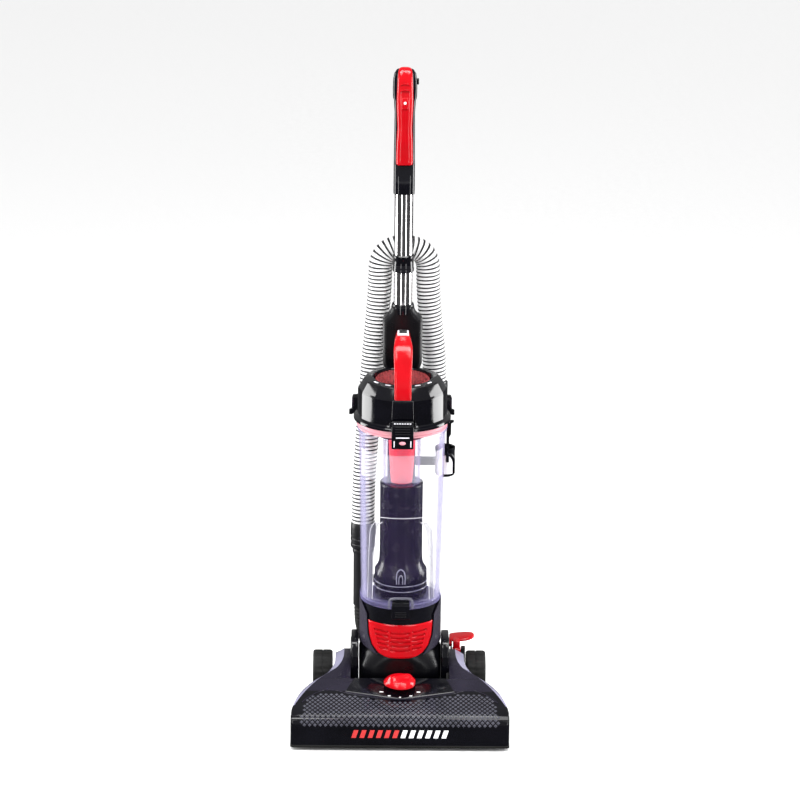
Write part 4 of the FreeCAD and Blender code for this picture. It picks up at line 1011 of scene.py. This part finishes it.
def add_filter():
    """The red mesh disc in the lid's dish."""
    profile = [(0.3, 565.2), (14, 565.2), (28, 565.0), (40, 564.4), (42.4, 562.6), (42.6, 560)]
    disc = lathe("filter_mesh", profile, 96)
    dress(disc, "foam", "lid", ["pre_filter"], 60)
    threads = []
    for k in range(-9, 10):
        reach = math.sqrt(max(0.0, 40.0 ** 2 - (4.2 * k) ** 2))
        if reach > 4:
            threads.append(sweep("thread", [(4.2 * k, -reach, 565.0), (4.2 * k, reach, 565.0)], 0.55, 6))
            threads.append(sweep("thread", [(-reach, 4.2 * k, 565.2), (reach, 4.2 * k, 565.2)], 0.55, 6))
    dress(join("filter_threads", threads), "foam", "lid")


def add_seal():
    """The pink rubber ring between the lid and the cup."""
    ring = lathe("lid_gasket", [
        (62, 487.3), (69.9, 487.3), (70.6, 488.4), (70.6, 490), (69.4, 491.3), (70.7, 493), (70.7, 497.6),
        (69.9, 498.8), (62, 498.8), (62, 487.3),
    ], 128)
    cut_back(ring)
    dress(ring, "seal_pink", "lid", ["lid_seal"])


def add_latch():
    """The lid's front clip: a rounded head, finger ribs and a small window."""
    body = prism("clip_body", [
        (-76.8, 516.4), (-78.2, 518.4), (-80.4, 518.2), (-82.2, 512.6), (-81.8, 477), (-80.0, 473.4),
        (-72.0, 473.4), (-72.0, 480.8), (-76.8, 484.2),
    ], "X", -17.0, 17.0, 1.2, 3)
    dress(body, "black_gloss", "lid_clip", ["lid_latch"])
    ribs = [block("rib", -11.5, 11.5, -82.9, -81.2, z, z + 1.5, 0.6, 2) for z in (497.5, 501.5, 505.5, 509.5)]
    dress(join("clip_ribs", ribs), "black_satin", "lid_clip")
    # Teeth, a bar and two side strips in pale grey on the black clip: painted highlights.
    teeth = []
    for x in np.arange(-13.4, 11, 4.0):
        teeth.append(block("tooth", x, x + 2.6, -82.6, -79.0, 514.6, 516.2, 0.4, 2))
    teeth.append(block("bar", -10.5, 10.5, -82.9, -81.5, 491.8, 493.6, 0.5, 2))
    for x in (-13.8, 12.0):
        teeth.append(block("light", x, x + 1.8, -82.6, -81.4, 477.5, 487.5, 0.4, 2))
    dress(join("clip_painted_glints", teeth), "pale_trim_and_highlight", "lid_clip")
    oval = lathe("clip_button", [(0.2, 1.6), (3.4, 1.4), (4.8, 0.9), (5.2, 0.0)], 40)
    oval.data.transform(Matrix.Translation((0, -0.0816, 0.4838)) @ Matrix.Scale(0.55, 4, (0, 0, 1))
                        @ Matrix.Rotation(math.pi / 2, 4, "X"))
    dress(oval, "seal_pink", "lid_clip")


def add_carry_handle():
    """The red loop over the lid, with a black liner for the fingers."""
    outer = smooth_line([
        (-70.2, 548), (-69.4, 566), (-65.5, 588), (-56, 612), (-40, 629), (-20, 637.6), (-2, 639),
        (20, 634.6), (38, 621), (49, 602), (53, 582), (54, 564),
    ], 7)
    inner = smooth_line([
        (-61.2, 562), (-60.4, 570), (-56, 586), (-46, 605), (-32, 618), (-16, 624.6), (-2, 625.6),
        (15, 622.4), (30, 612.5), (39.5, 598), (43, 581), (44, 564),
    ], 7)
    rings = []
    liner = []
    count = len(outer)
    for k, (o, i) in enumerate(zip(outer, inner)):
        t = k / (count - 1)
        top = ease(t, 0.34, 0.5) * (1 - ease(t, 0.62, 0.78))
        half = 13.2 + 1.5 * ease(t, 0.15, 0.32) * (1 - ease(t, 0.5, 0.8)) - 4.6 * top
        away = o - i
        thick = float(np.linalg.norm(away))
        away = away / thick
        ring = []
        for a in np.linspace(0, 2 * math.pi, 28, endpoint=False):
            c, s = math.cos(a), math.sin(a)
            x = half * squared(c, 0.38)
            depth = 0.5 * thick * squared(s, 0.45)
            spot = (o + i) / 2 + away * (depth + 0.6)
            ring.append((x, spot[0], spot[1]))
        rings.append(ring)
        base = i + away * 0.9
        liner.append([(x, (base - away * w)[0], (base - away * w)[1]) for x, w in
                      ((-half + 2.2, 0), (-half + 3.2, 1.3), (half - 3.2, 1.3), (half - 2.2, 0), (0, -1.0))])
    dress(loft("carry_loop", rings), "red_gloss", "lid", ["carry_handle"], 50)
    dress(loft("carry_liner", liner), "black_satin", "lid")
    button = block("carry_button", -6.2, 6.2, -16, 0, 634.5, 643.2, 2.2, 4)
    dress(button, "black_satin", "button", ["release_button"])
    # A pale plate on the black head: the head's painted highlight.
    plate = block("button_surround", -8.6, 8.6, -19, 3, 637.0, 641.2, 1.2, 3)
    dress(plate, "pale_trim_and_highlight", "lid")


# -------------------------------- upright body, tube and handle

TUBE_Y = 85.5


def add_housing():
    """The motor's casing: round under the cup, turning into a wide drum between the yoke arms."""
    rings = []
    for z in np.concatenate([[38.2, 38.6, 40, 43], np.linspace(48, 174, 64), [175.4, 175.9]]):
        blend = ease(z, 96, 126)
        power = 0.5 + 0.5 * blend
        drum = math.sqrt(max(9.0, 59.8 ** 2 - min(0.0, z - PIVOT_Z) ** 2))
        deep = drum + (62.35 - drum) * ease(z, PIVOT_Z, 118)
        wide = 65.3 - 4.0 * (1 - ease(z, 38, 46)) - 3.0 * ease(z, 116, 124)
        ring = []
        for a in np.linspace(0, 2 * math.pi, 120, endpoint=False):
            c, s = math.cos(a), math.sin(a)
            ring.append((wide * squared(c, power), deep * squared(s, power), z))
        rings.append(ring)
    dress(loft("motor_casing", rings), "black_soft", "upright", ["base_housing"], 60)
    seam = sweep("casing_seam", front_arc(62.6, 123, 0.62, 40), 0.8, 8)
    dress(seam, "black_satin", "upright")


def add_neck():
    """The shoulder between the lid's back and the tube, with the mouth that the tube stands in."""
    face = mirrored([
        (-22, 553), (-28.5, 558), (-31, 566), (-31.4, 634), (-29, 638.5), (-21.5, 645), (-18.5, 650),
        (-17.2, 660),
    ])
    shoulder = prism("neck_shoulder", face, "Y", 69.9, 99.8, 0)
    round_edges(shoulder, 5.0, 1, 50)
    round_edges(shoulder, 1.0, 3, 15)
    dress(shoulder, "black_soft", "upright", ["neck_block"], 20)
    mouth = lathe("neck_mouth", [
        (14.7, 646), (17.6, 646), (17.9, 657), (17.0, 660.4), (15.4, 660.8), (14.7, 659.6), (14.7, 646),
    ], 64, 0, TUBE_Y)
    dress(mouth, "black_gloss", "upright")


def add_collar():
    """The joint between the two tubes, with the peg behind it that holds up the hose."""
    ring = lathe("tube_joint", [
        (14.7, 712.9), (15.8, 712.9), (16.9, 714.2), (16.9, 719), (16.3, 720), (16.3, 733.5), (16.9, 734.5),
        (16.9, 739.4), (15.8, 740.6), (14.7, 740.6), (14.7, 712.9),
    ], 72, 0, TUBE_Y)
    peg_z = 711.2
    path = [(0, y, peg_z) for y in (98, 105, 120, 135, 141.4)]
    peg = sweep("hose_peg", path, [11.5, 10.4, 10.2, 10.6, 12], 40)
    path = [(0, y, peg_z) for y in (141.2, 142, 145, 146)]
    lip = sweep("peg_lip", path, [15.5, 16.8, 16.8, 15.4], 48)
    web = block("peg_web", -5.6, 5.6, 100, 141, 696.5, 706, 1.5)
    dress(ring, "black_gloss", "upright", ["tube_collar"])
    for piece in (peg, lip, web):
        dress(piece, "black_satin", "upright")


def handle_ring(z, half, front, back, power):
    """One level of the handle: a rounded outline from front to back."""
    ring = []
    middle, reach = (front + back) / 2, (back - front) / 2
    for a in np.linspace(0, 2 * math.pi, 40, endpoint=False):
        ring.append((half * squared(math.cos(a), power), middle + reach * squared(math.sin(a), power), z))
    return ring


def add_handle():
    """The stick handle: a black body at the back, a red grip in front and a wider black head at the top."""
    levels = [
        (839.7, 16.4, 69.2, 101.8), (841, 16.5, 69, 102), (884, 16.5, 69, 102), (888, 16.4, 72, 102.5),
        (900, 16.3, 80, 103), (930, 16.0, 82, 105), (965, 15.8, 82, 106), (985, 17.0, 82, 106.2),
        (990, 18.6, 82, 106.2), (1004, 18.9, 82, 105.6), (1018, 18.4, 82, 102.5), (1027, 17.0, 82, 98.5),
        (1034, 13.0, 82, 93), (1036.6, 8.0, 82.2, 88.5),
    ]
    body = loft("handle_shell", [handle_ring(z, h, f, b, 0.55) for z, h, f, b in levels])
    dress(body, "black_gloss", "upright", ["handle_body"], 40)
    front = [
        (887.4, 11.8, 67.4, 83.6), (889, 12.9, 65.4, 83.6), (900, 13.0, 64.0, 83.6),
        (925, 12.6, 62.4, 83.6), (945, 11.6, 62.0, 83.6), (962, 12.2, 62.0, 83.6), (985, 13.0, 62.0, 83.6),
        (1003, 12.6, 63.5, 83.8), (1018, 11.9, 66.0, 84.2), (1028, 11.3, 69.6, 85.0),
        (1034, 10.4, 73.6, 86.0), (1037.4, 8.4, 78.0, 87.0), (1038.4, 4.0, 81.6, 86.0),
    ]
    rings = [handle_ring(z, h, f, b, 0.66) for z, h, f, b in smooth_line(front, 5)]
    grip = loft("handle_front", rings)
    dress(grip, "red_gloss", "upright", ["handle_grip"], 60)
    wells = []
    for z, bow in ((1007, 62.8), (1016, 65.0)):
        arc = [(x, bow + 0.9 * (x / 8.0) ** 2 - 0.2, z - 0.035 * x * x) for x in np.linspace(-7.5, 7.5, 16)]
        wells.append(sweep("ridge", arc, 0.9, 8))
    dress(join("grip_ridges", wells), "red_gloss", "upright")
    thumb = prism("switch_thumb", [
        (-4.9, 977.5), (4.9, 977.5), (5.3, 982), (5.3, 990), (4.4, 995), (-4.4, 995), (-5.3, 990),
        (-5.3, 982),
    ], "Y", 60.2, 65.6, 1.0, 3)
    dress(thumb, "red_gloss", "switch", ["power_switch"])
    # A white dot on the red switch: a painted glint.
    dot = lathe("switch_painted_glint", [(0.1, 0.9), (1.6, 0.8), (2.3, 0.0)], 32)
    dot.data.transform(Matrix.Translation((0, 0.0604, 0.987)) @ Matrix.Rotation(math.pi / 2, 4, "X"))
    dress(dot, "print_white", "switch")
    nub = block("lead_clip", 18.4, 21.5, 88, 96, 1010, 1019, 1.2)
    dress(nub, "black_satin", "upright")


def add_brackets():
    """The wings beside the lid, with their end hooks."""
    pieces = []
    for side in (-1, 1):
        wing = [
            (22.2, 484), (76, 482), (79, 480.4), (83.6, 480.4), (83.6, 489), (79.4, 490.5), (79.2, 508),
            (77.5, 513.6), (70, 514), (22.2, 512),
        ]
        pieces.append(prism("wing", [(side * x, z) for x, z in wing], "Y", 71.2, 75.3, 1.1, 3))
    dress(join("lid_wings", pieces), "black_gloss", "upright", ["side_brackets"])
    strips = [block("strip", x - 1.2, x + 1.2, 70.2, 71.8, 494, 509, 0.5, 2) for x in (-78, 78)]
    dress(join("wing_strips", strips), "cheek_grey", "upright")


def add_tool_holder():
    """The storage cup at the right with its arched mouth, and the lead clip over it."""
    cup = lathe("tool_cup", [
        (14.0, 378.2), (14.0, 420.4), (14.9, 421.8), (16.1, 421.4), (16.1, 417), (15.6, 415.6), (15.6, 380),
        (14.6, 375.2), (12.6, 374.2), (0.2, 374.2), (0.2, 378.2), (14.0, 378.2),
    ], 72, 70, 90.5)
    dress(cup, "black_gloss", "upright", ["tool_holder"])
    arm = block("tool_arm", 22.2, 56, 80.4, 89.6, 392.4, 405.6, 1.5)
    bar = prism("lead_clip_bar", [
        (71.2, 401), (75.8, 401), (75.8, 444), (78.6, 448), (78.8, 466.6), (82.8, 468), (82.8, 471.8),
        (74, 471.8), (71.2, 468),
    ], "Y", 70.7, 75.8, 1.0, 3)
    arch = []
    face = []
    for t in np.linspace(-1, 1, 41):
        a = 1.05 * t
        top = 415.0 - 13.0 * abs(t) ** 3
        arch.append((70 + 16.6 * math.sin(a), 90.5 - 16.6 * math.cos(a), top))
        b = 0.80 * t
        face.append([(70 + 16.3 * math.sin(b), 90.5 - 16.3 * math.cos(b), z)
                     for z in np.linspace(380.0, top - 3.4, 8)])
    sides = [(arch[0][0], arch[0][1], 379.0)] + arch + [(arch[-1][0], arch[-1][1], 379.0)]
    loop = sweep("tool_arch", smooth_line(sides, 2), 1.5, 10)
    for piece in (arm, bar, loop):
        dress(piece, "black_gloss", "upright")
    dress(loft("tool_face", face, caps=False, loop=False), "pale_trim_and_highlight", "upright", (), 60)


def add_grille():
    """The red outlet grille: a bowed panel with three columns of sunken slots and a rolled rim."""
    side = [(119, 16), (121, 25), (126, 35.5), (136, 44.5), (151, 48.8), (165, 50.2), (175.6, 50.8)]

    def slot_depth(x, z):
        bend = 1.9 * (1 - ease(abs(x), 14, 20)) - 0.02 * abs(x)
        deep = 0.0
        for row in range(5):
            mid = 163.2 - 7.2 * row - bend
            tall = 1.0 - ease(abs(z - mid), 1.1, 2.0)
            width = min(41 - 2 * row, at(side, mid) - 6)
            middle = 1 - ease(abs(x), 14.6, 15.8)
            outer = ease(abs(x), 18.6, 19.8) * (1 - ease(abs(x), width - 0.8, width + 0.6))
            deep = max(deep, tall * max(middle, outer))
        return deep

    rings = []
    for z in np.concatenate([[119.3, 119.6], np.linspace(120.5, 175.2, 110), [175.6]]):
        half = at(side, z)
        ring = []
        for t in np.linspace(-1, 1, 121):
            x = half * t
            border = min(ease(half - abs(x), 0, 2.2), ease(z, 119.2, 122.5), 1 - ease(z, 174.2, 175.7))
            r = 63.6 + 1.9 * border - 2.4 * slot_depth(x, z) * (1 if border > 0.9 else 0)
            ring.append((x, -math.sqrt(r * r - x * x), z))
        rings.append(ring)
    panel = loft("outlet_grille", rings, caps=False, loop=False)
    dress(panel, "red_gloss", "upright", ["exhaust_grille"], 60)
    backing = lathe("outlet_backing", [(62.65, 126), (62.65, 170)], 96)
    dress(backing, "black_satin", "upright")


def add_spine_details():
    """Screw heads, a seam and a moulded panel on the back of the spine."""
    screws = []
    for x, z in ((-15, 165), (15, 165), (-15, 350), (15, 350), (-15, 535), (15, 535)):
        head = lathe("head", [(0.1, 0.2), (1.2, 0.2), (1.4, 0.9), (2.9, 0.9), (3.4, 0.0)], 24)
        place = Matrix.Translation((x * MM, 0.094, z * MM))
        head.data.transform(place @ Matrix.Rotation(-math.pi / 2, 4, "X"))
        screws.append(head)
    dress(join("spine_screws", screws), "steel", "upright")
    panel = prism("spine_panel", [
        (-17, 200), (17, 200), (19, 210), (19, 240), (17, 250), (-17, 250), (-19, 240), (-19, 210),
    ], "Y", 93.8, 95.0, 0.6, 2)
    dress(panel, "black_satin", "upright")
    bands = [block("band", -22.6, 22.6, 70.6, 94.6, z, z + 1.2, 0.4, 2) for z in (330.0, 520.0)]
    dress(join("spine_bands", bands), "black_satin", "upright")


def add_cuff_details():
    """The collars at the port's mouth and at the suction pipe's top."""
    port = lathe("port_collar", [
        (19.4, 508), (21.0, 508), (21.3, 510), (21.3, 517), (20.6, 519.8), (19.4, 519.8), (19.4, 508),
    ], 72, 52, 122)
    pipe = lathe("pipe_band", [
        (15.5, 240), (16.6, 240), (17.2, 241.5), (17.2, 245), (16.6, 247), (15.5, 247), (15.5, 240),
    ], 64, -60, 95)
    for piece in (port, pipe):
        dress(piece, "black_satin", "upright")


def add_brush_helix():
    """Two spiral rows of bristle tufts on the brush roll."""
    tufts = []
    for row in range(2):
        for k in range(46):
            x = -144 + 6.4 * k
            a = math.pi * row + 2 * math.pi * abs(x) / 190.0
            spot = [(x, BRUSH_Y + r * math.cos(a), BRUSH_Z + r * math.sin(a)) for r in (15.0, 19.0, 24.4)]
            tufts.append(sweep("tuft", spot, [1.3, 1.9, 2.6], 7))
    dress(join("bristle_tufts", tufts), "bristle", "brush", ["brush_bristles"], 40)


CAD_FINISH = {
    "black_satin": ["sole_plate", "suction_duct", "brush_bearings", "pedal_bracket", "height_carriage",
        "front_roller_left", "front_roller_right", "brush_roll", "cord_hook_upper", "cord_hook_lower",
        "inlet_port", "suction_pipe"],
    "steel": ["wheel_axles", "sole_screws", "pedal_spring", "motor_rotor"],
    "rubber": ["drive_belt", "cord_gland"],
    "paper": ["exhaust_filter"],
    "black_gloss": ["base_band", "rear_spine"],
    "cheek_grey": ["cradle_cheeks"],
    "cast": ["motor_stator", "fan_impeller"],
    "chrome": ["tube_lower", "tube_upper"],
    "lilac_clear": ["cup_floor", "inner_cylinder"],
}


def finish_cad():
    """Gives every carried-over CAD node its procedural material."""
    for material, nodes in CAD_FINISH.items():
        for node in nodes:
            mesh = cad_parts[node].data
            mesh.materials.clear()
            mesh.materials.append(M[material])


M = make_materials()
for build in (
    add_camera, add_hose, add_foot_hose, add_studio, add_floor, add_cover, add_bumper, add_texture,
    add_front_marks, add_dial_panel, add_knob, add_yokes, add_wheels, add_pedal, add_cup, add_cup_lines,
    add_label, add_floor_latch, add_cyclone, add_lid, add_filter, add_seal, add_latch, add_carry_handle,
    add_housing, add_neck, add_collar, add_handle, add_brackets, add_tool_holder, add_grille,
    add_spine_details, add_cuff_details, add_brush_helix,
):
    build()
finish_cad()
